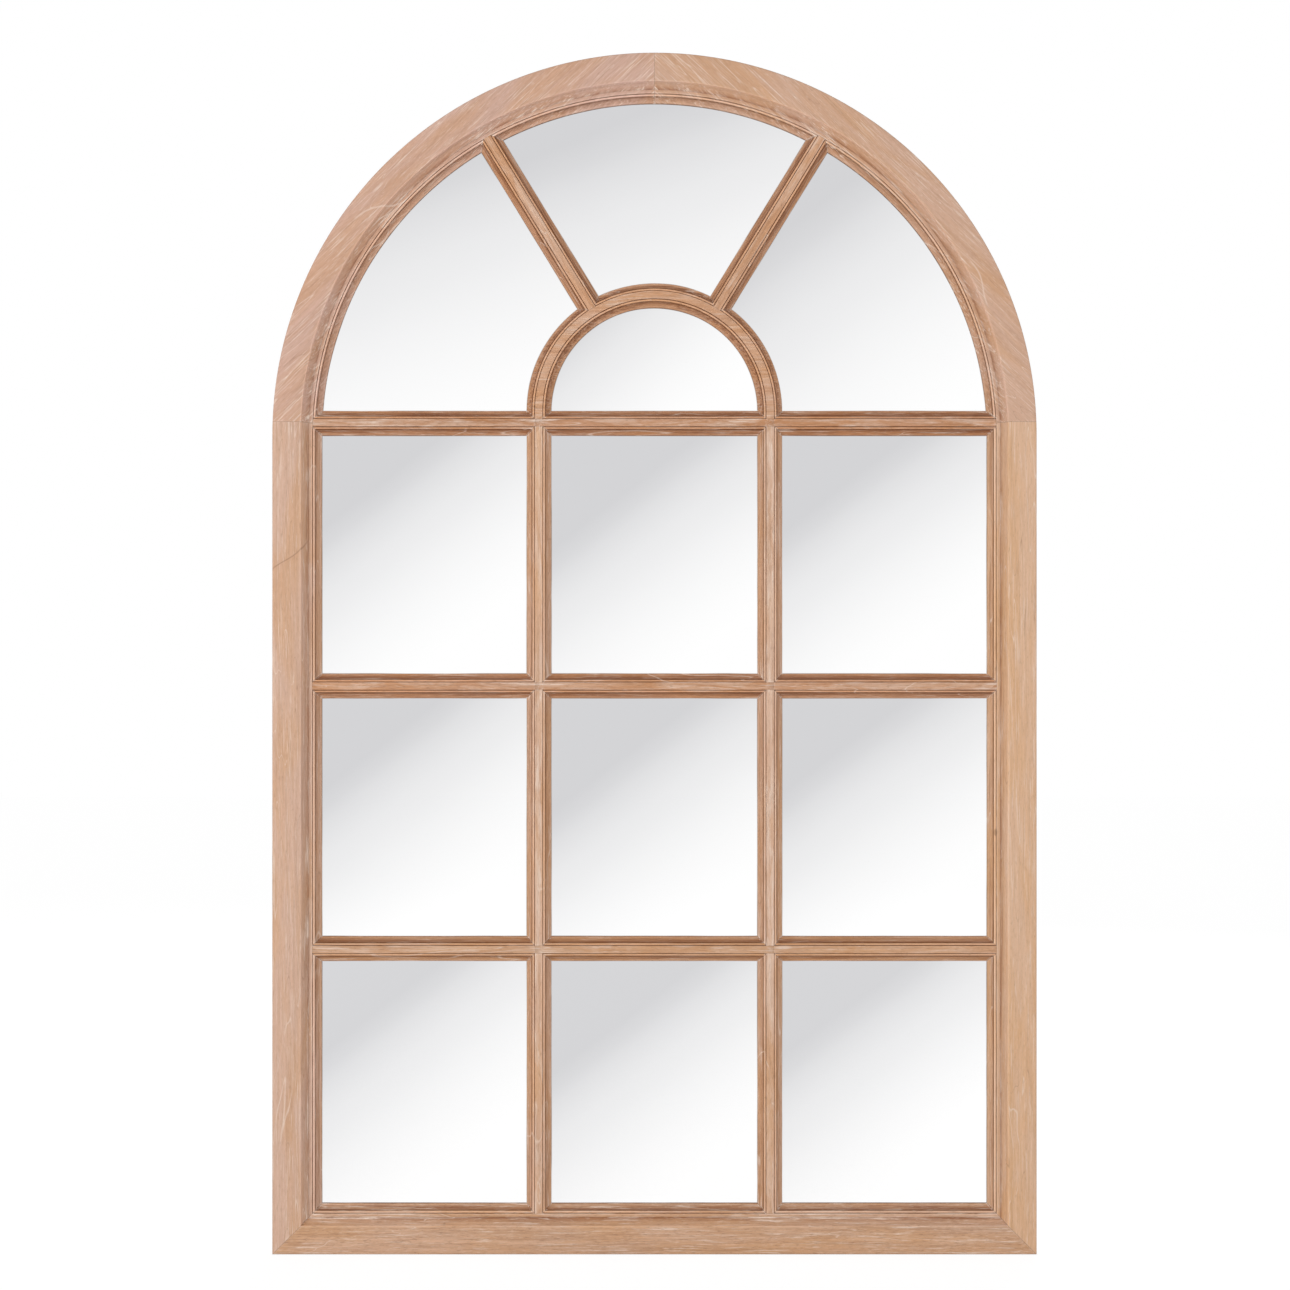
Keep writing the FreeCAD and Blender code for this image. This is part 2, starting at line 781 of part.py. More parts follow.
def screw(x, z, seat):
    """A screw driven forward into the frame, its head seated at a depth."""
    facing_front = (Vector(1, 0, 0), RIGHT_ANGLE)
    shank = rod("Shank", s.screw_radius, s.screw_length)
    place(shank, x, seat, z, *facing_front)
    head = rod("Head", s.screw_head_radius, s.screw_head_height)
    place(head, x, seat - s.screw_head_height, z, *facing_front)
    whole = DOC.addObject("Part::Fuse", "Screw")
    whole.Base = head
    whole.Tool = shank
    return whole


def make_backing_screws():
    """Screws through the board into the frame's shelf, all the way round."""
    stile_x = sight_radius + shelf_centre
    rail_z = sight_bottom - shelf_centre
    reach = sight_radius + shelf_centre
    places = [(Size(0.0, "0"), rail_z)]
    for side in (1, -1):
        places.append(((s.mullion_offset + sight_radius) / 2 * side, rail_z))
        for low, high in ((sight_bottom, lower_z), (lower_z, middle_z), (middle_z, top_z)):
            places.append((stile_x * side, (low + high) / 2))
        for angle in (s.arch_screw_low_angle, s.arch_screw_high_angle):
            places.append((reach * cosine(angle) * side, arch_z + reach * sine(angle)))
    return group("backing_screws", [screw(x, z, board_back) for x, z in places])


def make_hanger_screws():
    drops = (s.strap_screw_drop, s.strap_screw_drop + s.strap_screw_pitch)
    seat = frame_back - s.strap_thickness
    return group("hanger_screws", [screw(hanger_x * side, hanger_z - drop, seat)
                                   for side in (1, -1) for drop in drops])


def make_bumpers():
    """Rubber bumpers between the frame's back and the wall: two on the arch, three at the foot."""
    reach = sight_radius + back_centre
    half = s.bumper_width / 2
    centres = [(Size(0.0, "0"), half)]
    for side in (1, -1):
        centres.append((reach * cosine(s.bumper_arch_angle) * side,
                        arch_z + reach * sine(s.bumper_arch_angle)))
        centres.append(((corner_x - s.bumper_inset) * side, half))
    pads = []
    for x, z in centres:
        bumper = DOC.addObject("Part::Box", "Bumper")
        bind(bumper, "Length", s.bumper_width)
        bind(bumper, "Width", s.bumper_height)
        bind(bumper, "Height", s.bumper_width)
        place(bumper, x - half, frame_back, z - half, Vector(0, 0, 1), 0)
        pads.append(bumper)
    return group("wall_bumpers", pads)


# ---------------------------------------------------------------- hangers

def make_strap(label, side):
    """A steel strap, flat on the stile's back and rolled into the eye that holds the ring."""
    body = new_body(label)
    eye_z = hanger_z
    back = -frame_back
    plate = back + s.strap_thickness
    eye_y = -eye_depth
    under_eye = root(eye_outer * eye_outer - eye_inner * eye_inner)
    profile = [
        (back, strap_end_z),
        (back, eye_z, eye_outer, -1),
        (eye_y, eye_z + eye_outer, eye_outer, -1),
        (eye_y + eye_outer, eye_z, eye_outer, -1),
        (eye_y, eye_z - eye_outer, eye_outer, -1),
        (plate, eye_z - under_eye),
        (plate, strap_end_z),
    ]
    bore = (eye_y, eye_z, eye_inner)
    sketch = draw(body, "Profile", "YZ_Plane", [profile], [bore], offset=hanger_x * side)
    base = pad(body, sketch, s.strap_width, midplane=True)
    ends = [f"Edge{index}" for index, edge in enumerate(base.Shape.Edges, start=1)
            if edge.BoundBox.ZMax < strap_end_z.number + TOUCHING and edge.BoundBox.XLength < TOUCHING]
    clipping = body.newObject("PartDesign::Chamfer", "EndClipping")
    clipping.Base = (base, ends)
    bind(clipping, "Size", s.strap_end_clip)
    DOC.recompute()
    return body


def bend(x, z, radius, start):
    """Corners of a faceted quarter bend, clockwise about its centre from a start in degrees."""
    turns = [math.radians(start - stop) for stop in BEND_STOPS]
    return [(x + radius * math.cos(turn), z + radius * math.sin(turn)) for turn in turns]


def make_ring(label, side):
    """A D-shaped ring of faceted wire, hanging down from its straight bar in the strap's eye."""
    body = new_body(label)
    x = hanger_x * side
    top = hanger_z
    half = s.ring_half_width
    corner = s.ring_corner_radius
    foot = top - s.ring_leg
    path = bend(x + half - corner, top - corner, corner, 90) + [(x + half, top - corner)]
    path += bend(x, foot, half, 0) + bend(x, foot, half, -90) + [(x - half, foot)]
    path += bend(x - half + corner, top - corner, corner, 180) + [(x - half + corner, top)]
    spine = draw(body, "Path", "XZ_Plane", [path], offset=eye_depth)
    turns = [math.tau * (number + 0.5) / WIRE_SIDES for number in range(WIRE_SIDES)]
    wire = [(-eye_depth + s.ring_wire_radius * math.cos(turn), top + s.ring_wire_radius * math.sin(turn))
            for turn in turns]
    section = draw(body, "Wire", "YZ_Plane", [wire], offset=x - half + corner)
    DOC.recompute()
    pipe = body.newObject("PartDesign::AdditivePipe", "Ring")
    pipe.Profile = section
    pipe.Spine = spine
    pipe.Transition = "Right corner"
    DOC.recompute()
    return body


# ---------------------------------------------------------------- assembly and files

def build():
    dowels = make_dowels()
    backing_screws = make_backing_screws()
    hanger_screws = make_hanger_screws()
    fasteners = group("fasteners", [dowels, backing_screws, hanger_screws])

    parts = [dowels, backing_screws, hanger_screws, make_bumpers()]
    for stock, name in ((make_stile(), "frame_stile"), (make_arch(), "frame_arch")):
        parts.append(drilled(stock, name + "_right", fasteners))
        twin = mirrored(stock, name + "_mirrored_stock")
        parts.append(drilled(twin, name + "_left", fasteners))
    parts.append(drilled(make_rail(), "frame_rail_bottom", fasteners))

    parts.append(make_transom("transom_top", top_z, crossed=False))
    parts.append(make_transom("transom_middle", middle_z, crossed=True))
    parts.append(make_transom("transom_lower", lower_z, crossed=True))
    parts.append(make_mullion("mullion_right", 1))
    parts.append(make_mullion("mullion_left", -1))
    parts.append(make_fan_arch())
    spoke = make_spoke()
    spoke.Label = "fan_spoke_right"
    parts.append(spoke)
    parts.append(mirrored(spoke, "fan_spoke_left"))

    parts += make_panes()
    parts.append(drilled(make_board(), "backing_board", backing_screws))

    for name, side in (("right", 1), ("left", -1)):
        strap = make_strap(f"strap_stock_{name}", side)
        parts.append(drilled(strap, f"hanger_strap_{name}", hanger_screws))
        parts.append(make_ring(f"hanger_ring_{name}", side))
    return parts


def check(parts):
    """Stop before anything is written if a feature failed or a piece has no sound solid."""
    DOC.recompute()
    for item in DOC.Objects:
        if "Invalid" in item.State or "Error" in item.State:
            raise RuntimeError(f"{item.Label} is {item.State}")
    for piece in parts:
        if piece.Shape.isNull() or not piece.Shape.isValid() or not piece.Shape.Solids:
            raise RuntimeError(f"{piece.Label} has no valid solid")


def write(parts):
    os.makedirs("parts", exist_ok=True)
    for piece in parts:
        piece.Shape.exportStep(f"parts/{piece.Label}.step")


PARTS = build()
check(PARTS)
write(PARTS)
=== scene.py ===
import math

import bmesh
import bpy
from mathutils import Matrix, Vector


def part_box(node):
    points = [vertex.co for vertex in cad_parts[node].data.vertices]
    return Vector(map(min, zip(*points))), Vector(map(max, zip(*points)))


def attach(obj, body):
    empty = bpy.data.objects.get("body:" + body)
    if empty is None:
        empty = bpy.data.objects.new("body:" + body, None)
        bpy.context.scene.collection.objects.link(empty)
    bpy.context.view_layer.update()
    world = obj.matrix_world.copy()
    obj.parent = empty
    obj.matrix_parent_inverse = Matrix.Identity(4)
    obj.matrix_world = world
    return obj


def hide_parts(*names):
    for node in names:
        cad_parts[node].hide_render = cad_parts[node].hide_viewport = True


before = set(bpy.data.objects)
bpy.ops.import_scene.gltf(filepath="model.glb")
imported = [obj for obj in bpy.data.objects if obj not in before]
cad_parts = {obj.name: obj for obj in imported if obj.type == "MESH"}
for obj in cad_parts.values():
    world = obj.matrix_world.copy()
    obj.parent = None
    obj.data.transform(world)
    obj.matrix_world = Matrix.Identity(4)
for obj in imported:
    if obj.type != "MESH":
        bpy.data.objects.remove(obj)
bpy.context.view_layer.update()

# Sizes in millimetres, as in the CAD. Depths are measured from the wall plane, so a depth d
# lies at y = -d. Everything is turned into metres where a mesh is made.
MM = 0.001
HALF_WIDTH = 572.5
HEIGHT = 1800.0
FRAME_WIDTH = 71.0
SIGHT = HALF_WIDTH - FRAME_WIDTH
ARCH_Z = HEIGHT - HALF_WIDTH
TOP_Z = 1247.0
MIDDLE_Z = 851.0
LOWER_Z = 455.0
MULLION_X = 174.0
FLAT_HALF = 5.5
STICKING = 13.0
BAR_HALF = FLAT_HALF + STICKING
FAN_Z = TOP_Z + BAR_HALF
FAN_RISE = FAN_Z - ARCH_Z
FAN_OUTER = MULLION_X + BAR_HALF
SPOKE_ANGLE = math.radians(58.5)
SPOKE_COS = math.cos(SPOKE_ANGLE)
SPOKE_SIN = math.sin(SPOKE_ANGLE)
REBATE = 9.5
BOARD_REBATE = 22.5
PANE_CLEARANCE = 0.5
STEM_HALF = BAR_HALF - REBATE

FRAME_BACK = 7.0
BOARD_BACK = 8.0
GLASS_BACK = 11.0
GLASS_FRONT = 15.0
HALVING = 19.0
BAR_FRONT = 27.0
FRONT = 39.0

LIP = 2.0
COVE = 7.6
BIG_COVE = 10.0
FILLET = 5.0
FOOT_STEP = 1.2
ROUND = 2.5
EASE = 0.3
LEAST_EDGE = 0.003
BEAD_CENTRE = (10.6, 24.55)
BEAD_RADII = (1.75, 1.85)
BEAD_STEPS = 8
QUIRK_DEPTH = 24.6


# ---------------------------------------------------------------- profiles

def quarter(start, width, rise, steps):
    """Points of a quarter curve that leaves its start flat and ends upright."""
    points = []
    for step in range(steps + 1):
        turn = math.radians(90 * step / steps)
        points.append((start[0] + width * math.sin(turn), start[1] + rise * (1 - math.cos(turn))))
    return points


def sticking_profile():
    """The sticking from the glass up to the flat, as (across, depth)."""
    lip_start = 0.4
    points = [(0.0, GLASS_FRONT), (0.0, GLASS_FRONT + LIP - EASE), (0.15, GLASS_FRONT + LIP)]
    points += quarter((lip_start, GLASS_FRONT + LIP), COVE - lip_start, COVE, 8)[1:]
    # the groove beside the bead
    points += [(7.85, QUIRK_DEPTH), (8.15, 24.1), (8.5, 24.0)]
    for step in range(BEAD_STEPS + 1):
        turn = math.pi * (1 - step / BEAD_STEPS)
        points.append((BEAD_CENTRE[0] + BEAD_RADII[0] * math.cos(turn),
                       BEAD_CENTRE[1] + BEAD_RADII[1] * math.sin(turn)))
    # up out of the quirk onto the flat
    return points + [(12.5, QUIRK_DEPTH), (12.75, 26.6), (STICKING, 26.95), (STICKING + EASE, BAR_FRONT)]


def frame_profile():
    """The whole section of the frame, from its sight edge out and round the back."""
    points = sticking_profile()
    foot = STICKING + FILLET
    points += [(foot - EASE, BAR_FRONT), (foot, BAR_FRONT + EASE), (foot, BAR_FRONT + FOOT_STEP)]
    rise = FRONT - BAR_FRONT - FOOT_STEP
    points += quarter((foot, BAR_FRONT + FOOT_STEP), BIG_COVE, rise, 10)[1:-1]
    points += [(foot + BIG_COVE, FRONT - 0.7), (foot + BIG_COVE + 0.25, FRONT - 0.2),
               (foot + BIG_COVE + 0.8, FRONT)]
    points += quarter((FRAME_WIDTH - ROUND, FRONT), ROUND, -ROUND, 5)
    points += [(FRAME_WIDTH, FRAME_BACK + 0.8), (FRAME_WIDTH - 0.8, FRAME_BACK)]
    points += [(BOARD_REBATE, FRAME_BACK), (BOARD_REBATE, GLASS_BACK)]
    return points + [(REBATE, GLASS_BACK), (REBATE, GLASS_FRONT)]


def bar_profile():
    """The section of a glazing bar, centred, with its stem between the panes."""
    left = [(across - BAR_HALF, depth) for across, depth in sticking_profile()]
    right = [(-across, depth) for across, depth in reversed(left)]
    stem = [(STEM_HALF, GLASS_FRONT), (STEM_HALF, GLASS_BACK),
            (-STEM_HALF, GLASS_BACK), (-STEM_HALF, GLASS_FRONT)]
    return left + right + stem


# ---------------------------------------------------------------- meshes

def new_object(name, bm):
    bmesh.ops.recalc_face_normals(bm, faces=bm.faces)
    mesh = bpy.data.meshes.new(name)
    bm.to_mesh(mesh)
    bm.free()
    piece = bpy.data.objects.new(name, mesh)
    bpy.context.scene.collection.objects.link(piece)
    return piece


def vertex(bm, x, depth, z):
    """A vertex at a place given in millimetres."""
    return bm.verts.new((x * MM, -depth * MM, z * MM))


def skin(bm, rings, closed=False):
    """Faces from each ring of vertices to the next, and from the last to the first if closed."""
    following = rings[1:] + rings[:1] if closed else rings[1:]
    for ring, after in zip(rings, following):
        for a, b, c, d in zip(ring, ring[1:] + ring[:1], after[1:] + after[:1], after):
            bm.faces.new((a, b, c, d))


def solid(bm, rings):
    """A skin over the rings, closed by a face at each end."""
    skin(bm, rings)
    bm.faces.new(rings[0])
    bm.faces.new(list(reversed(rings[-1])))


def sweep(name, profile, stations):
    """A closed solid whose section stands at each (origin, across) station of the front view."""
    bm = bmesh.new()
    rings = []
    for (x, z), (ax, az) in stations:
        rings.append([vertex(bm, x + ax * u, depth, z + az * u) for u, depth in profile])
    solid(bm, rings)
    return new_object(name, bm)


def carve(piece, cuts):
    """Cut prisms out of a solid; each cut is (corners, nearest depth, furthest depth)."""
    bm = bmesh.new()
    for corners, low, high in cuts:
        solid(bm, [[vertex(bm, x, depth, z) for x, z in corners] for depth in (low, high)])
    subtract(piece, new_object(piece.name + "_cutter", bm))
    return piece


def subtract(piece, cutter):
    """Cut one object out of another, and delete the cutter."""
    modifier = piece.modifiers.new("cut", "BOOLEAN")
    modifier.operation = "DIFFERENCE"
    modifier.solver = "EXACT"
    modifier.use_self = True
    modifier.object = cutter
    bake(piece)
    bpy.data.objects.remove(cutter)


def bake(piece):
    """Replace a piece's mesh by the result of its modifiers, without faces of no area."""
    graph = bpy.context.evaluated_depsgraph_get()
    mesh = bpy.data.meshes.new_from_object(piece.evaluated_get(graph))
    bm = bmesh.new()
    bm.from_mesh(mesh)
    bmesh.ops.dissolve_degenerate(bm, dist=LEAST_EDGE * MM, edges=bm.edges[:])
    bm.to_mesh(mesh)
    bm.free()
    piece.modifiers.clear()
    piece.data = mesh


def smooth(piece, degrees=32):
    mesh = piece.data
    mesh.polygons.foreach_set("use_smooth", [True] * len(mesh.polygons))
    mesh.set_sharp_from_angle(angle=math.radians(degrees))


# ---------------------------------------------------------------- mitred joints, as in the CAD

# how far a cut reaches past a bar's end, to each side of the frame at its butt, and past a face
CUT_LENGTH = 60.0
BUTT_HALF = 200.0
CLEAR = 5.0


def shifted(corner, direction, distance):
    return tuple(value + step * distance for value, step in zip(corner, direction))


def notch(tee, direction):
    """The seat of a bar's mitred end in the sticking that it meets."""
    near, near_quirk, far_quirk, far = tee
    return [shifted(near, direction, -REBATE), near, near_quirk, far_quirk, far,
            shifted(far, direction, -REBATE)]


def trim(tee, direction):
    """What is cut from a square bar end to leave its mitred end, wider than the bar past that end."""
    near, near_quirk, far_quirk, far = tee
    side = (-direction[1], direction[0])
    outward = math.copysign(1.0, (near[0] - far[0]) * side[0] + (near[1] - far[1]) * side[1])
    wide_near, wide_far = shifted(near, side, outward), shifted(far, side, -outward)
    return [near, wide_near, shifted(wide_near, direction, CUT_LENGTH),
            shifted(wide_far, direction, CUT_LENGTH), wide_far, far, far_quirk, near_quirk]


def frame_edge(outward, height):
    """Half the frame's width at a height, so far outward of its sight edge."""
    rise = max(height - ARCH_Z, 0.0)
    return math.sqrt((SIGHT + outward) ** 2 - rise ** 2)


def transom_tee(height, side):
    """Four corners of a bar's mitred end, from one sight edge by the quirk and back to the other."""
    offsets = ((0, BAR_HALF), (STICKING, FLAT_HALF), (STICKING, -FLAT_HALF), (0, -BAR_HALF))
    return [(frame_edge(out, height + rise) * side, height + rise) for out, rise in offsets]


def upright_tee(x, sight_z, way):
    offsets = ((0, -BAR_HALF), (STICKING, -FLAT_HALF), (STICKING, FLAT_HALF), (0, BAR_HALF))
    return [(x + across, sight_z + deep * way) for deep, across in offsets]


def along_circle(radius, across):
    return math.sqrt(radius ** 2 - across ** 2)


def along_frame(radius, across):
    """How far along a spoke the frame's circle of this radius lies."""
    sideways = across - FAN_RISE * SPOKE_COS
    return math.sqrt(radius ** 2 - sideways ** 2) - FAN_RISE * SPOKE_SIN


def on_spoke(across, along, side=1):
    """A spoke's own point in the front view."""
    return ((along * SPOKE_COS + across * SPOKE_SIN) * side,
            FAN_Z + along * SPOKE_SIN - across * SPOKE_COS)


def spoke_tees(side=1):
    sides = (-BAR_HALF, -FLAT_HALF, FLAT_HALF, BAR_HALF)
    foot = [along_circle(radius, across) for across, radius in
            zip(sides, (FAN_OUTER, FAN_OUTER - STICKING, FAN_OUTER - STICKING, FAN_OUTER))]
    head = [along_frame(radius, across) for across, radius in
            zip(sides, (SIGHT, SIGHT + STICKING, SIGHT + STICKING, SIGHT))]
    return ([on_spoke(across, along, side) for across, along in zip(sides, foot)],
            [on_spoke(across, along, side) for across, along in zip(sides, head)])


def crossing(x, z, level):
    """The mitred notches of two bars that cross, in the level one or in the upright one."""
    loops = []
    for way in (1, -1):
        wide = [(-BAR_HALF, BAR_HALF * way), (-FLAT_HALF, FLAT_HALF * way), (FLAT_HALF, FLAT_HALF * way),
                (BAR_HALF, BAR_HALF * way), (BAR_HALF, (BAR_HALF + REBATE) * way),
                (-BAR_HALF, (BAR_HALF + REBATE) * way)]
        loops.append([(x + a, z + b) if level else (x + b, z + a) for a, b in wide])
    return loops


def block(x, z, x_half, z_half):
    return [(x - x_half, z - z_half), (x + x_half, z - z_half),
            (x + x_half, z + z_half), (x - x_half, z + z_half)]


# depths that a cut spans: the moulded front above the glass, or the whole piece
FLANGE = (GLASS_FRONT - 0.01, FRONT + CLEAR)
THROUGH = (0, FRONT + CLEAR)


def cuts(loops, span):
    return [(loop, *span) for loop in loops]


# ---------------------------------------------------------------- timber members

# distances between the sections of a straight member, and of one with joints cut along it
LONG_PITCH = 24
SHORT_PITCH = 12


def spaced(start, end, pitch):
    """Even steps of about the pitch, ends included."""
    count = max(1, round(abs(end - start) / pitch))
    return [start + (end - start) * step / count for step in range(count + 1)]


def stile_shape(name, side):
    turn_end = math.asin((TOP_Z - ARCH_Z + CLEAR + 1) / SIGHT)
    stations = [((SIGHT * side, z), (side, 0)) for z in spaced(0, ARCH_Z, LONG_PITCH)]
    for turn in spaced(0, turn_end, math.radians(1))[1:]:
        across = (math.cos(turn) * side, math.sin(turn))
        stations.append(((SIGHT * across[0], ARCH_Z + SIGHT * across[1]), across))
    piece = sweep(name, frame_profile(), stations)
    seats = [notch(transom_tee(height, side), (side, 0)) for height in (LOWER_Z, MIDDLE_Z, TOP_Z)]
    mitre = [((SIGHT - CLEAR) * side, -CLEAR), ((HALF_WIDTH + CLEAR) * side, -CLEAR),
             ((SIGHT - CLEAR) * side, FRAME_WIDTH + CLEAR)]
    above = block(SIGHT * side, TOP_Z + CUT_LENGTH, BUTT_HALF, CUT_LENGTH)
    return carve(piece, cuts([above, mitre], THROUGH) + cuts(seats, FLANGE))


def arch_shape(name, side):
    stations = []
    for turn in spaced(0, math.radians(90), math.radians(1.25)):
        across = (math.cos(turn) * side, math.sin(turn))
        stations.append(((SIGHT * across[0], ARCH_Z + SIGHT * across[1]), across))
    piece = sweep(name, frame_profile(), stations)
    head = spoke_tees(side)[1]
    seats = [notch(transom_tee(TOP_Z, side), (side, 0)), notch(head, (SPOKE_COS * side, SPOKE_SIN))]
    below = block(SIGHT * side, TOP_Z - CUT_LENGTH, BUTT_HALF, CUT_LENGTH)
    return carve(piece, cuts([below], THROUGH) + cuts(seats, FLANGE))


def rail_shape(name):
    stations = [((x, FRAME_WIDTH), (0, -1)) for x in spaced(-HALF_WIDTH, HALF_WIDTH, LONG_PITCH)]
    piece = sweep(name, frame_profile(), stations)
    mitres = [[((HALF_WIDTH + CLEAR) * side, -CLEAR), ((HALF_WIDTH + CLEAR) * side, FRAME_WIDTH + CLEAR),
               ((SIGHT - CLEAR) * side, FRAME_WIDTH + CLEAR)] for side in (1, -1)]
    seats = [notch(upright_tee(MULLION_X * side, FRAME_WIDTH, -1), (0, -1)) for side in (1, -1)]
    return carve(piece, cuts(mitres, THROUGH) + cuts(seats, FLANGE))


def transom_shape(name, height, crossed):
    stations = [((x, height), (0, 1)) for x in spaced(-SIGHT - STICKING, SIGHT + STICKING, SHORT_PITCH)]
    piece = sweep(name, bar_profile(), stations)
    work = cuts([trim(transom_tee(height, side), (side, 0)) for side in (1, -1)], THROUGH)
    for x in (MULLION_X, -MULLION_X):
        if crossed:
            work += cuts(crossing(x, height, True), FLANGE)
            work.append((block(x, height, FLAT_HALF, BAR_HALF + 1), 0, HALVING))
            work.append((block(x, height, STEM_HALF, BAR_HALF + 1), 0, GLASS_FRONT + 0.01))
        else:
            work += cuts([notch(upright_tee(x, height - BAR_HALF, 1), (0, 1)),
                          notch(upright_tee(x, height + BAR_HALF, -1), (0, -1))], FLANGE)
    return carve(piece, work)


def mullion_shape(name, side):
    x = MULLION_X * side
    ends = (FRAME_WIDTH, TOP_Z - BAR_HALF)
    stations = [((x, z), (1, 0)) for z in spaced(ends[0] - STICKING, ends[1] + STICKING, SHORT_PITCH)]
    piece = sweep(name, bar_profile(), stations)
    work = cuts([trim(upright_tee(x, end, way), (0, way)) for end, way in zip(ends, (-1, 1))], THROUGH)
    for height in (LOWER_Z, MIDDLE_Z):
        work += cuts(crossing(x, height, False), FLANGE)
        work.append((block(x, height, BAR_HALF + 1, FLAT_HALF), HALVING, FRONT))
    return carve(piece, work)


def fan_arch_shape(name):
    stations = [((MULLION_X, z), (1, 0)) for z in spaced(FAN_Z - STICKING, FAN_Z, 4)]
    for turn in spaced(0, math.pi, math.radians(2.5))[1:]:
        across = (math.cos(turn), math.sin(turn))
        stations.append(((MULLION_X * across[0], FAN_Z + MULLION_X * across[1]), across))
    stations += [((-MULLION_X, z), (-1, 0)) for z in spaced(FAN_Z, FAN_Z - STICKING, 4)[1:]]
    piece = sweep(name, bar_profile(), stations)
    work = cuts([trim(upright_tee(MULLION_X * side, FAN_Z, -1), (0, -1)) for side in (1, -1)], THROUGH)
    for side in (1, -1):
        work += cuts([notch(spoke_tees(side)[0], (-SPOKE_COS * side, -SPOKE_SIN))], FLANGE)
    return carve(piece, work)


def spoke_shape(name, side):
    start, end = FAN_OUTER - STICKING - 6, along_frame(SIGHT, -BAR_HALF) + STICKING + 12
    stations = []
    for along in spaced(start, end, SHORT_PITCH):
        middle, beside = on_spoke(0, along, side), on_spoke(1, along, side)
        stations.append((middle, (beside[0] - middle[0], beside[1] - middle[1])))
    piece = sweep(name, bar_profile(), stations)
    foot, head = spoke_tees(side)
    outward = (SPOKE_COS * side, SPOKE_SIN)
    inward = tuple(-step for step in outward)
    return carve(piece, cuts([trim(foot, inward), trim(head, outward)], THROUGH))


# ---------------------------------------------------------------- grain and moulding coordinates

def tee_seams(tee):
    near, near_quirk, far_quirk, far = tee
    return [(near, near_quirk), (near_quirk, far_quirk), (far_quirk, far)]


def crossing_seams(x, z):
    """The four mitres of two crossing bars and the two butts of the upright one."""
    seams = []
    for up in (1, -1):
        seams += tee_seams([(x - BAR_HALF, z + BAR_HALF * up), (x - FLAT_HALF, z + FLAT_HALF * up),
                            (x + FLAT_HALF, z + FLAT_HALF * up), (x + BAR_HALF, z + BAR_HALF * up)])
    return seams


def all_seams():
    """Every line in the front view where two members meet, as pairs of points."""
    seams = [((0.0, HEIGHT - FRAME_WIDTH), (0.0, HEIGHT))]
    for side in (1, -1):
        seams.append(((SIGHT * side, FRAME_WIDTH), (HALF_WIDTH * side, 0.0)))
        seams.append(((SIGHT * side, TOP_Z), (HALF_WIDTH * side, TOP_Z)))
        for height in (LOWER_Z, MIDDLE_Z, TOP_Z):
            seams += tee_seams(transom_tee(height, side)) + crossing_seams(MULLION_X * side, height)
        seams += tee_seams(upright_tee(MULLION_X * side, FRAME_WIDTH, -1))
        for tee in spoke_tees(side):
            seams += tee_seams(tee)
    return seams


SEAMS = all_seams()
SEAM_REACH = 40.0


def seam_distance(x, z):
    """Distance to the nearest joint line, or SEAM_REACH if none is nearer."""
    least = SEAM_REACH
    for (ax, az), (bx, bz) in SEAMS:
        if not min(ax, bx) - least <= x <= max(ax, bx) + least:
            continue
        if not min(az, bz) - least <= z <= max(az, bz) + least:
            continue
        length = (bx - ax) ** 2 + (bz - az) ** 2
        share = min(max(((x - ax) * (bx - ax) + (z - az) * (bz - az)) / length, 0.0), 1.0)
        least = min(least, math.hypot(x - ax - share * (bx - ax), z - az - share * (bz - az)))
    return least


def across_frame(x, z):
    """Distance outward from the frame's sight edge."""
    if z > ARCH_Z:
        return math.hypot(x, z - ARCH_Z) - SIGHT
    return abs(x) - SIGHT


# metres that part one board's grain from the next one's, along it, across it and in depth
BOARD_SHIFT = (1.7, 0.37, 0.11)


def mark(piece, across, grain_angle, seed):
    """Write where each point lies in the moulding and in the timber, for the materials.

    grain holds metres along the grain, across it and in depth, across holds millimetres from
    the sight edge, and seam holds millimetres from the nearest joint.
    """
    mesh = piece.data
    cosine, sine = math.cos(grain_angle), math.sin(grain_angle)
    grain, band, near = [], [], []
    for point in mesh.vertices:
        x, depth, z = point.co.x / MM, -point.co.y / MM, point.co.z / MM
        place = (x * cosine + z * sine, z * cosine - x * sine, depth)
        grain += [distance * MM + seed * apart for distance, apart in zip(place, BOARD_SHIFT)]
        band.append(across(x, z))
        near.append(seam_distance(x, z))
    mesh.attributes.new("grain", "FLOAT_VECTOR", "POINT").data.foreach_set("vector", grain)
    mesh.attributes.new("across", "FLOAT", "POINT").data.foreach_set("value", band)
    mesh.attributes.new("seam", "FLOAT", "POINT").data.foreach_set("value", near)


# ---------------------------------------------------------------- materials

def srgb(red, green, blue):
    """A colour given as 0 to 255 on the screen, as linear light."""
    def linear(value):
        value /= 255
        return value / 12.92 if value <= 0.04045 else ((value + 0.055) / 1.055) ** 2.4
    return (linear(red), linear(green), linear(blue), 1.0)


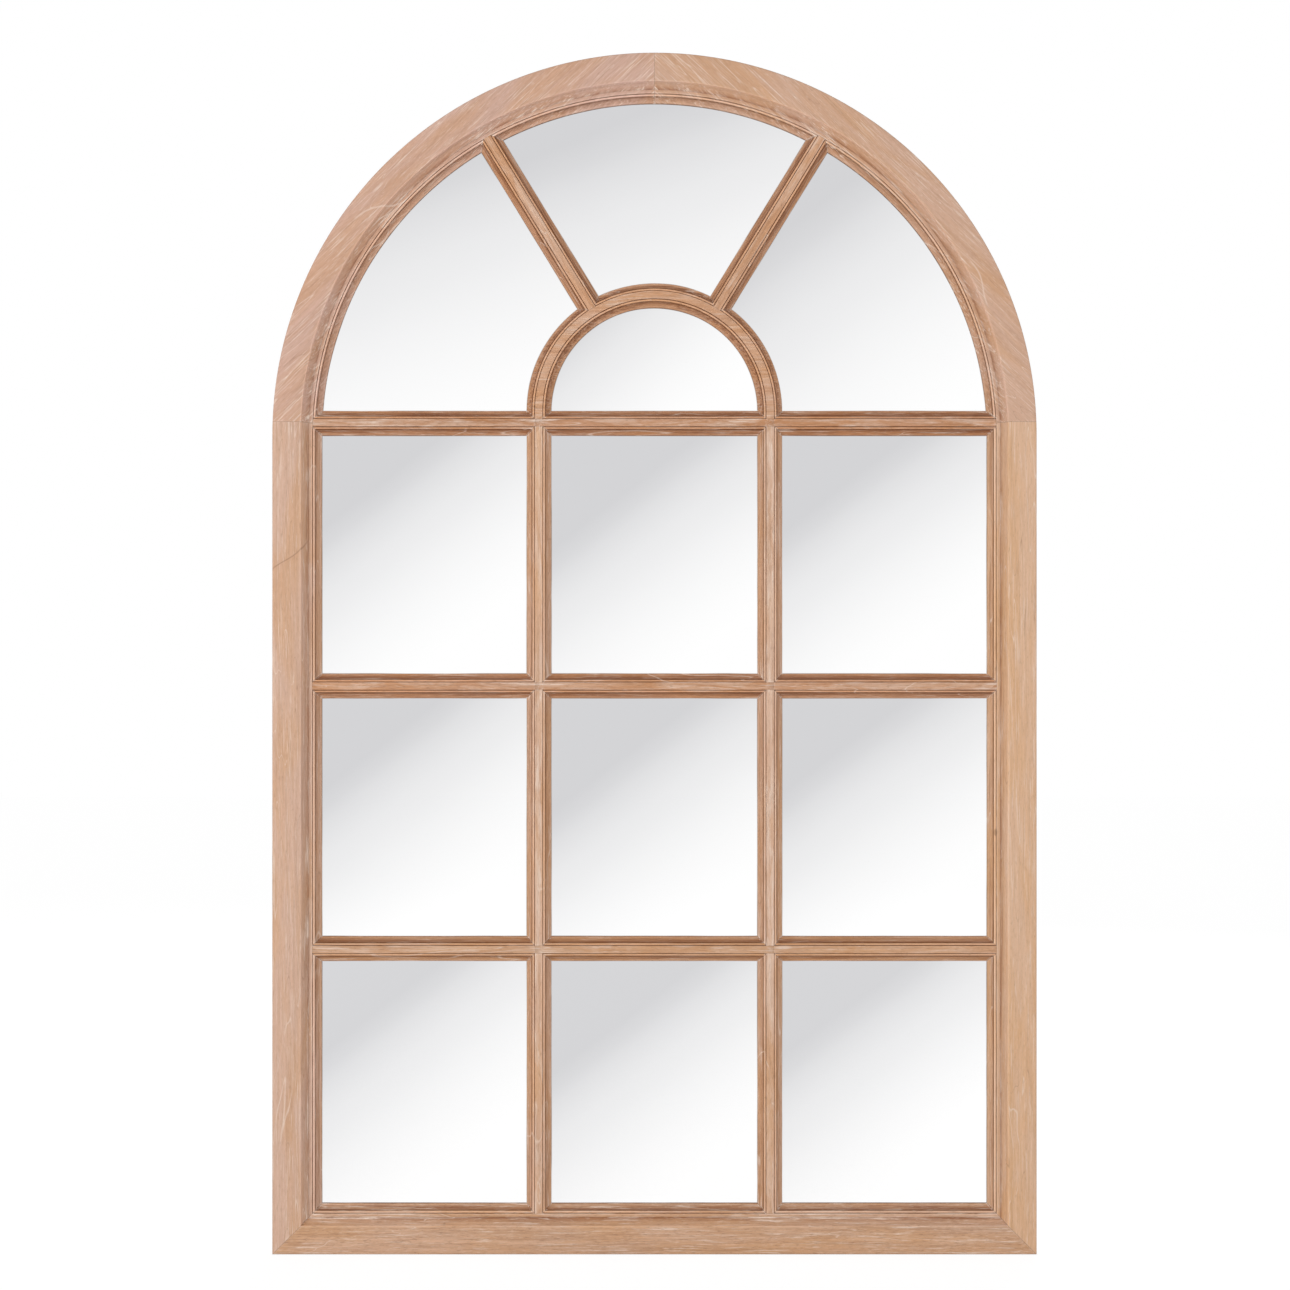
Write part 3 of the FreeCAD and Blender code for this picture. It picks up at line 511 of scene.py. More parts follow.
class Nodes:
    """The node tree of a new material or world, with one call for each node."""

    def __init__(self, name, kind="materials"):
        self.owner = getattr(bpy.data, kind).new(name)
        self.owner.use_nodes = True
        self.tree = self.owner.node_tree
        self.shader = self.tree.nodes["Background" if kind == "worlds" else "Principled BSDF"]

    def add(self, kind, inputs=None, **settings):
        made = self.tree.nodes.new("ShaderNode" + kind)
        for key, value in settings.items():
            setattr(made, key, value)
        self.feed(made, inputs or {})
        return made

    def feed(self, made, inputs):
        for key, value in inputs.items():
            socket = made.inputs[key]
            if isinstance(value, bpy.types.NodeSocket):
                self.tree.links.new(value, socket)
            else:
                socket.default_value = value

    def attribute(self, name, output):
        return self.add("Attribute", attribute_name=name).outputs[output]

    def math(self, operation, first, second=0.0, clamp=False):
        made = self.add("Math", {0: first, 1: second}, operation=operation, use_clamp=clamp)
        return made.outputs[0]

    def stretched(self, vector, scale, detail=3.0, roughness=0.55, distortion=0.0):
        mapping = self.add("Mapping", {"Vector": vector, "Scale": scale})
        noise = self.add("TexNoise", {"Vector": mapping.outputs[0], "Scale": 1.0, "Detail": detail,
                                      "Roughness": roughness, "Distortion": distortion})
        return noise.outputs[0]

    def ramp(self, factor, stops):
        made = self.add("ValToRGB", {0: factor})
        ramp = made.color_ramp
        while len(ramp.elements) < len(stops):
            ramp.elements.new(1.0)
        for element, (position, colour) in zip(ramp.elements, stops):
            element.position = position
            element.color = colour if len(colour) == 4 else (*colour, 1.0)
        return made.outputs[0]

    def mix(self, factor, first, second, blend="MIX"):
        made = self.add("Mix", data_type="RGBA", blend_type=blend)
        # the sockets that the node shows for colours
        self.feed(made, {0: factor, 6: first, 7: second})
        return made.outputs[2]

    def place(self):
        """Metres in the piece's own frame."""
        return self.add("TexCoord").outputs["Object"]

    def split(self, vector):
        return self.add("SeparateXYZ", {0: vector}).outputs

    def remap(self, value, start, end, first=0.0, last=1.0):
        """First up to the start, last from the end on, and even between them."""
        return self.add("MapRange", {0: value, 1: start, 2: end, 3: first, 4: last}).outputs[0]

    def product(self, *factors):
        made = factors[0]
        for factor in factors[1:]:
            made = self.math("MULTIPLY", made, factor)
        return made

    def window(self, value, low, high, soft_low, soft_high=None):
        """1 where the value lies between low and high, with soft ends."""
        soft_high = soft_high or soft_low
        rise = self.remap(value, low - soft_low, low + soft_low)
        fall = self.remap(value, high - soft_high, high + soft_high, 1.0, 0.0)
        return self.math("MULTIPLY", rise, fall)

    def bump(self, strength, distance, height):
        made = self.add("Bump", {"Strength": strength, "Distance": distance, "Height": height})
        return made.outputs[0]


def grey(value):
    return (value, value, value, 1.0)


# Painted shade and painted highlights on the moulding: how much each place darkens or lightens the
# timber, by millimetres from the sight edge: lip, cove, groove, bead, quirk, fillet, the big cove's foot
# and its arris. The bead, the fillet's edge and the arris get painted highlights; the lip, cove, groove,
# quirk and the big cove's foot get painted shade.
MOULDING_SPAN = 32.0
PAINTED_MOULDING_SHADE_AND_HIGHLIGHTS = [
    (0.0, (0.46, 0.39, 0.35)), (0.3, (0.74, 0.67, 0.62)), (0.6, (0.98, 0.96, 0.95)),
    (2.2, (1.0, 0.98, 0.96)), (3.2, (0.95, 0.91, 0.88)), (5.0, (0.93, 0.87, 0.82)),
    (7.2, (0.89, 0.82, 0.76)), (7.7, (0.52, 0.42, 0.34)), (8.7, (0.48, 0.38, 0.31)),
    (9.1, (0.98, 0.96, 0.94)), (9.8, (1.38, 1.44, 1.50)), (11.4, (1.38, 1.44, 1.50)),
    (12.0, (0.94, 0.91, 0.89)), (12.3, (0.48, 0.38, 0.31)), (12.75, (0.56, 0.46, 0.39)),
    (13.1, (1.14, 1.17, 1.20)), (14.3, (1.0, 1.0, 1.0)), (17.0, (0.98, 0.96, 0.94)),
    (17.9, (0.84, 0.77, 0.72)), (18.2, (0.50, 0.38, 0.30)), (19.2, (0.66, 0.54, 0.45)),
    (21.0, (0.85, 0.78, 0.71)), (24.0, (0.95, 0.92, 0.90)), (27.0, (1.0, 1.0, 1.0)),
    (27.8, (1.26, 1.32, 1.38)), (28.8, (1.16, 1.20, 1.24)), (30.4, (1.02, 1.02, 1.02)),
    (32.0, (1.0, 1.0, 1.0))]


# Marks of the timber itself, in millimetres: lines as (start, end, bend, half width, pale), and
# spots as (centre, half length, half height, pale).
LINES = {"frame_stile_left": [((-519.0, 1072.0), (-574.0, 1019.0), 4.0, 0.6, False),
                              ((-524.0, 1226.0), (-520.0, 1062.0), 2.5, 0.5, False)],
         "frame_arch_left": [((-452.0, 1547.0), (-378.0, 1584.0), 5.0, 0.8, True),
                             ((-400.0, 1540.0), (-428.0, 1500.0), 4.0, 0.6, True)],
         "frame_arch_right": [((470.0, 1490.0), (505.0, 1420.0), 5.0, 0.7, True)]}
SPOTS = {"frame_stile_right": [((512.7, 631.0), 2.6, 5.5, False)],
         "transom_lower": [((194.0, 458.0), 13.0, 2.4, True)]}
DARK_MARK = srgb(146, 106, 80)
PALE_MARK = srgb(236, 214, 197)
SWAY = 1.6 * math.pi


def mark_line(n, colour, start, end, bend, half_width, pale):
    """Draw a growth line that sways to each side on its way from start to end."""
    place = n.split(n.place())
    run = math.hypot(end[0] - start[0], end[1] - start[1])
    ux, uz = (end[0] - start[0]) / run, (end[1] - start[1]) / run
    dx = n.math("SUBTRACT", n.math("DIVIDE", place[0], MM), start[0])
    dz = n.math("SUBTRACT", n.math("DIVIDE", place[2], MM), start[1])
    along = n.math("DIVIDE", n.math("ADD", n.product(dx, ux), n.product(dz, uz)), run)
    aside = n.math("SUBTRACT", n.product(dz, ux), n.product(dx, uz))
    bow = n.product(n.math("SINE", n.product(along, SWAY)), bend)
    off = n.math("ABSOLUTE", n.math("SUBTRACT", aside, bow))
    near = n.remap(off, half_width * 0.4, half_width * 2.4, 0.5, 0.0)
    inside = n.window(along, 0.05, 0.95, 0.05)
    return n.mix(n.product(near, inside), colour, PALE_MARK if pale else DARK_MARK)


def mark_spot(n, colour, centre, half_length, half_height, pale):
    """Draw a knot or an eye as a soft oval."""
    place = n.split(n.place())
    dx = n.math("DIVIDE", n.math("SUBTRACT", n.math("DIVIDE", place[0], MM), centre[0]), half_length)
    dz = n.math("DIVIDE", n.math("SUBTRACT", n.math("DIVIDE", place[2], MM), centre[1]), half_height)
    off = n.math("ADD", n.product(dx, dx), n.product(dz, dz))
    near = n.remap(off, 0.3, 1.4, 0.55, 0.0)
    return n.mix(near, colour, PALE_MARK if pale else DARK_MARK)


WAX = srgb(138, 88, 58)
# painted shade for the moulding's faces that look up
PAINTED_UPWARD_SHADE = srgb(122, 72, 46)
PORE_WAX = srgb(132, 96, 72)
# painted shade along the frame's outer round
PAINTED_EDGE_SHADE = srgb(128, 98, 80)
JOINT_WAX = srgb(118, 82, 60)
DARK_GROWTH = srgb(146, 108, 84)
PALE_GROWTH = srgb(238, 219, 203)
LIME = srgb(238, 218, 202)

# scales of the noises, per metre along the grain, across it and in depth
BROAD = (5, 26, 26)
FIGURE = (4, 95, 60)
STREAK = (8, 270, 270)
FIBRE = (40, 560, 560)
CONTOUR = (2.2, 30, 12)
PATCH = (11, 70, 70)
THREAD = (18, 520, 520)
FLECK = (110, 760, 760)
DOTS = (380, 380, 380)


def figured(n, grain, tone, lively):
    """The bare timber: its tone drifts, and its figure and fibres run along the grain.

    Returns the colour with the noises of the streaks and the fibres.
    """
    broad = n.stretched(grain, BROAD, detail=3, distortion=0.5)
    figure = n.stretched(grain, FIGURE, detail=3, roughness=0.6, distortion=0.7)
    streak = n.stretched(grain, STREAK, detail=3, roughness=0.6, distortion=0.4)
    fibre = n.stretched(grain, FIBRE, detail=3, roughness=0.6)
    warm = tuple(channel * factor for channel, factor in zip(tone, (0.99, 0.93, 0.84, 1.0)))
    pale = tuple(channel * factor for channel, factor in zip(tone, (1.01, 1.02, 1.07, 1.0)))
    colour = n.mix(n.ramp(broad, [(0.40, grey(0)), (0.60, grey(1))]), warm, pale)
    shades = (
        (figure, [(0.30, (0.86, 0.84, 0.81)), (0.46, grey(0.97)), (0.58, grey(1.01)), (0.74, grey(1.08))]),
        (streak, [(0.34, (0.82, 0.77, 0.73)), (0.46, (0.97, 0.96, 0.95)), (0.54, grey(1.0)),
                  (0.66, (1.06, 1.08, 1.10))]),
        (fibre, [(0.36, grey(0.90)), (0.50, grey(1.0)), (0.64, grey(1.05))]))
    for noise, stops in shades:
        colour = n.mix(lively, colour, n.ramp(noise, stops), "MULTIPLY")
    return colour, streak, fibre


def moulded(n, colour, across, streak, wax_and_shade, depth):
    """The moulding's painted shade and painted highlights, dark wax kept in streaks in the hollows,
    painted shade in streaks on the faces that look up, and painted shade on the outer round.
    """
    place = n.math("DIVIDE", across, MOULDING_SPAN)
    # the moulding's painted shade and painted highlights, applied as strongly as depth says
    painted_shading = n.ramp(place, [(distance / MOULDING_SPAN, rgb) for distance, rgb in PAINTED_MOULDING_SHADE_AND_HIGHLIGHTS])
    colour = n.mix(depth, colour, painted_shading, "MULTIPLY")
    hollow = n.math("ADD", n.window(across, 3.0, 8.0, 0.8), n.window(across, 18.0, 22.0, 0.4, 2.0))
    stain = n.ramp(streak, [(0.40, grey(1)), (0.56, grey(0))])
    colour = n.mix(n.product(hollow, stain, wax_and_shade), colour, WAX)
    # painted shade: the moulding's faces that look up are darkened in streaks, scaled by the same amount
    # as the dark wax
    facing = n.split(n.add("TexCoord").outputs["Normal"])[2]
    painted_shade_up = n.remap(facing, 0.15, 0.65, 0.0, 0.62)
    streaky = n.ramp(streak, [(0.36, grey(1)), (0.66, grey(0.35))])
    worked = n.window(across, -1.0, 22.0, 0.5, 3.0)
    colour = n.mix(n.product(painted_shade_up, streaky, wax_and_shade, worked), colour, PAINTED_UPWARD_SHADE)
    # painted shade on the outer round, where it turns away from the light
    painted_rim = n.remap(across, 69.4, 71.0, 0.0, 0.35)
    return n.mix(painted_rim, colour, PAINTED_EDGE_SHADE)


def growth_lines(n, colour, grain):
    """Growth lines, one dark and one pale, that wander along the grain."""
    contour = n.stretched(grain, CONTOUR, detail=2, distortion=0.6)
    dark_line = n.window(contour, 0.4985, 0.5015, 0.0015)
    colour = n.mix(n.product(dark_line, 0.36), colour, DARK_GROWTH)
    pale_line = n.window(contour, 0.5725, 0.5765, 0.0020)
    return n.mix(n.product(pale_line, 0.50), colour, PALE_GROWTH)


def limed(n, colour, grain, across, seam, lime, lively):
    """Pale lime stays in pores, quirks and the corners of the joints, and wax in a few pores."""
    patch = n.stretched(grain, PATCH, detail=4, roughness=0.65, distortion=0.8)
    thread = n.ramp(n.stretched(grain, THREAD, detail=2), [(0.54, grey(0)), (0.62, grey(1))])
    fleck = n.stretched(grain, FLECK, detail=2, roughness=0.5)
    patchy = n.ramp(patch, [(0.42, grey(0)), (0.60, grey(1))])
    lining = n.math("ADD", n.window(across, 12.2, 14.4, 0.7), n.window(across, 17.2, 20.4, 0.6, 1.4))
    speck = n.ramp(fleck, [(0.60, grey(0)), (0.66, grey(1))])
    close = n.remap(seam, 1.5, 26.0, 1.0, 0.0)
    crowded = n.product(close, n.ramp(patch, [(0.40, grey(0)), (0.62, grey(1))]))
    line = n.remap(seam, 0.6, 2.4, 0.85, 0.0)
    sunk = n.remap(across, 12.5, 13.5, 1.0, 0.25)
    dots = n.ramp(n.stretched(grain, DOTS, detail=2), [(0.48, grey(0)), (0.56, grey(1))])
    residue = n.product(lining, patchy, 0.40)
    for more in (n.product(thread, patchy, 0.55), n.product(speck, 0.20),
                 n.product(crowded, thread, 0.50), n.product(line, sunk, dots)):
        residue = n.math("ADD", residue, more)
    residue = n.math("MULTIPLY", residue, lime, clamp=True)
    colour = n.mix(residue, colour, LIME)
    pore = n.ramp(fleck, [(0.34, grey(1)), (0.40, grey(0))])
    colour = n.mix(n.product(pore, 0.40 * lively), colour, PORE_WAX)
    hairline = n.remap(seam, 0.15, 0.85, 0.36, 0.0)
    return n.mix(hairline, colour, JOINT_WAX)


def wood(node, tone, wax_and_shade, lime, lively, depth):
    """Limed timber of the given tone on a flat, with dark wax in its hollows and painted shade and
    painted highlights on its moulding.

    Of the numbers after the tone, the first is how much dark wax its hollows keep and how much painted
    shade darkens the faces that look up, lime is how much pale residue lies in its pores, lively how
    strongly its figure shows, and depth how strongly the painted shade and painted highlights of its
    moulding show.
    """
    n = Nodes("wood_" + node)
    grain = n.attribute("grain", "Vector")
    across = n.attribute("across", "Fac")
    seam = n.attribute("seam", "Fac")
    colour, streak, fibre = figured(n, grain, tone, lively)
    colour = moulded(n, colour, across, streak, wax_and_shade, depth)
    colour = growth_lines(n, colour, grain)
    colour = limed(n, colour, grain, across, seam, lime, lively)
    for line in LINES.get(node, []):
        colour = mark_line(n, colour, *line)
    for spot in SPOTS.get(node, []):
        colour = mark_spot(n, colour, *spot)
    height = n.math("ADD", n.product(fibre, 0.5), n.product(streak, 0.5))
    bump = n.bump(0.3, 0.0006, height)
    roughness = n.ramp(fibre, [(0.3, grey(0.52)), (0.7, grey(0.66))])
    n.feed(n.shader, {"Base Color": colour, "Roughness": roughness, "Normal": bump,
                      "Specular IOR Level": 0.32})
    return n.owner


# each kind of pane's painted sheen: its angle, and where it starts and how far it runs, in metres
PAINTED_SHEENS = {"lunette": (41, 0.050, 0.23), "crown": (22, 0.105, 0.40), "fan_left": (22, 0.095, 0.40),
          "fan_right": (37, 0.160, 0.37), "centre": (37, 0.148, 0.256), "left": (38, 0.124, 0.256),
          "right": (37, 0.128, 0.256)}
# along that run, the grey of the painted sheen
PAINTED_SHEEN_STEPS = [(0.0, 212), (0.09, 218), (0.16, 225), (0.25, 231), (0.32, 235), (0.41, 238), (0.55, 244),
               (0.70, 249), (0.86, 253), (1.0, 255)]
# the colour of the painted reflection of the lip along each pane's edge
LIP_REFLECTION = srgb(150, 124, 106)


def edge_distance(n, x, z, node):
    """Millimetres from a pane's visible edge, which is the sight edge of the bars around it."""
    def from_circle(centre_z, radius, inside):
        rise = n.math("SUBTRACT", z, centre_z)
        away = n.math("SQRT", n.math("ADD", n.product(x, x), n.product(rise, rise)))
        return n.math("SUBTRACT", radius, away) if inside else n.math("SUBTRACT", away, radius)

    def from_spoke(side, above):
        rise = n.product(n.math("SUBTRACT", z, FAN_Z), SPOKE_COS)
        away = n.math("SUBTRACT", n.product(x, SPOKE_SIN * side), rise)
        away = n.product(away, -1.0) if above else away
        return n.math("SUBTRACT", away, BAR_HALF)

    kind = node[len("pane_"):]
    if kind == "lunette":
        edges = [n.math("SUBTRACT", z, FAN_Z), from_circle(FAN_Z, MULLION_X - BAR_HALF, True)]
    elif kind.startswith("fan"):
        edges = [from_circle(ARCH_Z, SIGHT, True), from_circle(FAN_Z, FAN_OUTER, False)]
        if kind == "fan_crown":
            edges += [from_spoke(1, True), from_spoke(-1, True)]
        else:
            edges += [from_spoke(1 if kind == "fan_right" else -1, False), n.math("SUBTRACT", z, FAN_Z)]
    else:
        low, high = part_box(node)
        hidden = REBATE - PANE_CLEARANCE
        edges = [n.math("SUBTRACT", x, low.x / MM + hidden), n.math("SUBTRACT", high.x / MM - hidden, x),
                 n.math("SUBTRACT", z, low.z / MM + hidden), n.math("SUBTRACT", high.z / MM - hidden, z)]
    nearest = edges[0]
    for edge in edges[1:]:
        nearest = n.math("MINIMUM", nearest, edge)
    return nearest


def mirror(node, corner, painted_sheen):
    """Silvered glass with a painted sheen that shades it, as the panes do, from a grey corner to a white
    one, and a painted reflection of the lip along its edge.
    """
    angle, begin, run = painted_sheen
    turn = math.radians(angle)
    n = Nodes("silver_" + node)
    place = n.place()
    x, _, z = n.split(place)
    right = n.math("SUBTRACT", x, corner[0])
    down = n.math("SUBTRACT", corner[1], z)
    slope = n.math("ADD", n.product(right, math.sin(turn)), n.product(down, math.cos(turn)))
    slope = n.math("DIVIDE", n.math("SUBTRACT", slope, begin), run)
    painted_sheen_noise = n.stretched(place, (4, 4, 4), detail=2)
    slope = n.math("ADD", slope, n.product(n.math("SUBTRACT", painted_sheen_noise, 0.5), 0.06))
    # the painted sheen, whose greys are a shade cool
    colour = n.ramp(slope, [(step, srgb(tone, tone, tone + (255 - tone) / 20))
                            for step, tone in PAINTED_SHEEN_STEPS])
    # painted reflection: the silvering lies behind the glass, so a dark line in the lip's colour is
    # painted along the pane's visible edge, where the back of the lip would show
    edge = edge_distance(n, n.math("DIVIDE", x, MM), n.math("DIVIDE", z, MM), node)
    painted_rim = n.remap(edge, 0.3, 1.3, 0.8, 0.0)
    uneven = n.ramp(n.stretched(place, (7, 7, 7), detail=2), [(0.42, grey(0.15)), (0.58, grey(0.85))])
    colour = n.mix(n.product(painted_rim, uneven), colour, LIP_REFLECTION)
    smear = n.stretched(place, (9, 9, 22), detail=4)
    n.feed(n.shader, {"Base Color": colour, "Metallic": 1.0,
                      "Roughness": n.ramp(smear, [(0.4, grey(0.01)), (0.75, grey(0.045))])})
    return n.owner


def zinc(name):
    n = Nodes(name)
    spangle = n.stretched(n.place(), (900, 900, 900), detail=3)
    colour = n.ramp(spangle, [(0.35, srgb(168, 170, 172)), (0.65, srgb(205, 206, 207))])
    rough = n.ramp(spangle, [(0.35, grey(0.28)), (0.65, grey(0.42))])
    bump = n.bump(0.1, 0.0001, spangle)
    n.feed(n.shader, {"Base Color": colour, "Metallic": 1.0, "Roughness": rough, "Normal": bump})
    return n.owner


def rubber(name):
    n = Nodes(name)
    grit = n.stretched(n.place(), (1600, 1600, 1600), detail=3)
    colour = n.ramp(grit, [(0.35, srgb(38, 38, 39)), (0.7, srgb(58, 58, 58))])
    bump = n.bump(0.2, 0.0002, grit)
    n.feed(n.shader, {"Base Color": colour, "Roughness": 0.75, "Normal": bump})
    return n.owner


def hardboard(name):
    n = Nodes(name)
    place = n.place()
    clouds = n.stretched(place, (7, 7, 7), detail=4, roughness=0.6)
    fibres = n.stretched(place, (420, 420, 420), detail=5, roughness=0.7, distortion=1.5)
    colour = n.ramp(clouds, [(0.3, srgb(124, 88, 58)), (0.7, srgb(146, 106, 72))])
    mottle = n.ramp(fibres, [(0.3, grey(0.72)), (0.5, grey(1.0)), (0.72, grey(1.22))])
    colour = n.mix(0.7, colour, mottle, "MULTIPLY")
    bump = n.bump(0.25, 0.0003, fibres)
    n.feed(n.shader, {"Base Color": colour, "Roughness": 0.78, "Normal": bump})
    return n.owner


def beech(name):
    n = Nodes(name)
    rays = n.stretched(n.place(), (500, 500, 120), detail=3)
    colour = n.ramp(rays, [(0.35, srgb(196, 158, 116)), (0.65, srgb(216, 182, 142))])
    n.feed(n.shader, {"Base Color": colour, "Roughness": 0.7})
    return n.owner


# ---------------------------------------------------------------- dressing the frame

def dress(piece, node, body, slot, material):
    """Give a piece its material, and put it on a body in the place of a CAD node."""
    piece.data.materials.clear()
    piece.data.materials.append(material)
    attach(piece, body)
    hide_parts(node)
    return piece


# each timber's finish and painted shading: its tone, then its dark wax and the painted shade of the faces
# that look up, lime, lively, and depth, which sets its moulding's painted shade and painted highlights
STILE_LEFT = (srgb(208, 171, 146), 0.30, 0.70, 0.45, 0.85)
STILE_RIGHT = (srgb(215, 176, 143), 0.30, 0.55, 0.45, 0.85)
ARCH_LEFT = (srgb(205, 167, 146), 0.30, 0.95, 0.40, 0.90)
ARCH_RIGHT = (srgb(205, 166, 139), 0.30, 0.95, 0.40, 0.90)
RAIL = (srgb(203, 163, 132), 0.55, 1.00, 0.85, 1.0)
TOP = (srgb(183, 134, 99), 0.85, 0.75, 0.90, 1.0)
MIDDLE = (srgb(187, 139, 105), 0.60, 0.60, 0.85, 1.0)
LOWER = (srgb(191, 147, 112), 0.50, 0.50, 0.70, 1.0)
MULLION = (srgb(204, 164, 134), 0.15, 0.70, 0.65, 0.72)
FAN = (srgb(194, 148, 114), 0.80, 0.45, 0.75, 1.0)
SPOKE = (srgb(194, 148, 114), 0.75, 0.45, 0.85, 1.0)

ARCH_GRAIN = math.radians(44)
UPRIGHT = math.radians(90)


def rail_across(_, z):
    return FRAME_WIDTH - z


def level_across(height):
    return lambda x, z: BAR_HALF - abs(z - height)


def upright_across(side):
    return lambda x, z: BAR_HALF - abs(x - MULLION_X * side)


def fan_across(x, z):
    radius = math.hypot(x, z - FAN_Z) if z > FAN_Z else abs(x)
    return BAR_HALF - abs(radius - MULLION_X)


def spoke_across(side):
    return lambda x, z: BAR_HALF - abs(x * side * SPOKE_SIN - (z - FAN_Z) * SPOKE_COS)


# node, shape and its details, distance from the sight edge, grain's angle and finish
MEMBERS = [
    ("frame_stile_left", stile_shape, (-1,), across_frame, UPRIGHT, STILE_LEFT),
    ("frame_stile_right", stile_shape, (1,), across_frame, UPRIGHT, STILE_RIGHT),
    ("frame_arch_left", arch_shape, (-1,), across_frame, ARCH_GRAIN, ARCH_LEFT),
    ("frame_arch_right", arch_shape, (1,), across_frame, -ARCH_GRAIN, ARCH_RIGHT),
    ("frame_rail_bottom", rail_shape, (), rail_across, 0.0, RAIL),
    ("transom_top", transom_shape, (TOP_Z, False), level_across(TOP_Z), 0.0, TOP),
    ("transom_middle", transom_shape, (MIDDLE_Z, True), level_across(MIDDLE_Z), 0.0, MIDDLE),
    ("transom_lower", transom_shape, (LOWER_Z, True), level_across(LOWER_Z), 0.0, LOWER),
    ("mullion_left", mullion_shape, (-1,), upright_across(-1), UPRIGHT, MULLION),
    ("mullion_right", mullion_shape, (1,), upright_across(1), UPRIGHT, MULLION),
    ("fan_arch", fan_arch_shape, (), fan_across, 0.0, FAN),
    ("fan_spoke_left", spoke_shape, (-1,), spoke_across(-1), math.pi - SPOKE_ANGLE, SPOKE),
    ("fan_spoke_right", spoke_shape, (1,), spoke_across(1), SPOKE_ANGLE, SPOKE),
]

for seed, (node, shape, details, across, angle, finish) in enumerate(MEMBERS, start=1):
    piece = shape("limed_" + node, *details)
    mark(piece, across, angle, seed)
    smooth(piece)
    slot = "limed_wood_frame" if node.startswith("frame") else "limed_wood_bars"
    dress(piece, node, "frame", slot, wood(node, *finish))


def refinish(node, material):
    """Give a CAD node that keeps its own shape a better material."""
    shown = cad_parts[node]
    shown.data.materials.clear()
    shown.data.materials.append(material)


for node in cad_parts:
    if node.startswith("pane_"):
        low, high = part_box(node)
        kind = next(kind for kind in PAINTED_SHEENS if node.endswith(kind))
        refinish(node, mirror(node, (low.x, high.z), PAINTED_SHEENS[kind]))

refinish("backing_board", hardboard("hardboard"))
refinish("frame_dowels", beech("beech"))


# ---------------------------------------------------------------- hardware on the back

HANGER_X = 548.25
HANGER_Z = 1130.0
EYE_INNER = 1.85
EYE_OUTER = 3.35
EYE_DEPTH = FRAME_BACK - EYE_OUTER
EYE_WRAP = 300
STRAP_WIDTH = 14.0
STRAP_THICKNESS = 1.5
STRAP_END_Z = HANGER_Z - 48.0
WIRE = 1.5
WIRE_STEPS = 16
RING_HALF = 11.0
RING_CORNER = 3.5
RING_LEG = 6.0
BUMPER = 18.0
SCREW_DROPS = (23.0, 41.0)

ZINC = zinc("zinc_plate")


def ring_shape(name, side):
    """The D-ring: round wire bent round a straight bar, hanging down."""
    x, top = HANGER_X * side, HANGER_Z
    centre_line = []

    def bend(cx, cz, radius, start, sweep_angle, steps):
        for step in range(steps + 1):
            turn = math.radians(start - sweep_angle * step / steps)
            centre_line.append((cx + radius * math.cos(turn), cz + radius * math.sin(turn), turn))

    bend(x + RING_HALF - RING_CORNER, top - RING_CORNER, RING_CORNER, 90, 90, 8)
    bend(x, top - RING_LEG, RING_HALF, 0, 180, 32)
    bend(x - RING_HALF + RING_CORNER, top - RING_CORNER, RING_CORNER, 180, 90, 8)
    bm = bmesh.new()
    rings = []
    for cx, cz, turn in centre_line:
        ring = []
        for step in range(WIRE_STEPS):
            around = math.tau * step / WIRE_STEPS
            out = WIRE * math.cos(around)
            ring.append(vertex(bm, cx + out * math.cos(turn), EYE_DEPTH - WIRE * math.sin(around),
                               cz + out * math.sin(turn)))
        rings.append(ring)
    skin(bm, rings, closed=True)
    return new_object(name, bm)


def strap_shape(name, side):
    """The hanger strap: flat on the stile's back, clipped at its end, and rolled into an eye."""
    x = HANGER_X * side
    middle = (EYE_INNER + EYE_OUTER) / 2
    half = STRAP_THICKNESS / 2
    # depth, height and share of the full width, up the flat and then round the eye
    line = [(FRAME_BACK - half, STRAP_END_Z + rise, min(1.0, 0.5 + rise / 7.0))
            for rise in (0, 1.75, 3.5, 20, 40)]
    for turn in map(math.radians, range(0, EYE_WRAP + 1, 10)):
        line.append((EYE_DEPTH + middle * math.cos(turn), HANGER_Z + middle * math.sin(turn), 1.0))
    ease = 0.25
    bm = bmesh.new()
    rings = []
    for index, (depth, z, share) in enumerate(line):
        before, after = line[max(index - 1, 0)], line[min(index + 1, len(line) - 1)]
        run = Vector((after[0] - before[0], after[1] - before[1])).normalized()
        normal = (run.y * half, -run.x * half)
        wide = STRAP_WIDTH / 2 * share
        ring = []
        for a, b in ((-wide + ease, 1), (wide - ease, 1), (wide, 0.7), (wide, -0.7),
                     (wide - ease, -1), (-wide + ease, -1), (-wide, -0.7), (-wide, 0.7)):
            ring.append(vertex(bm, x + a, depth + normal[0] * b, z + normal[1] * b))
        rings.append(ring)
    solid(bm, rings)
    return new_object(name, bm)


# radius of a screw and how far in from its seat, from the top of its head to its tip
SCREW_OUTLINE = [(0.0, -1.7), (0.9, -1.75), (2.0, -1.6), (2.8, -1.2), (3.3, -0.6), (3.38, -0.1),
                 (3.3, 0.0), (1.45, 0.0), (1.4, 12.0), (0.9, 13.2), (0.0, 13.9)]
SCREW_STEPS = 28
RECESS_TOP = -2.5
RECESS_FLOOR = -0.5
SQUARE = ((-1, -1), (1, -1), (1, 1), (-1, 1))


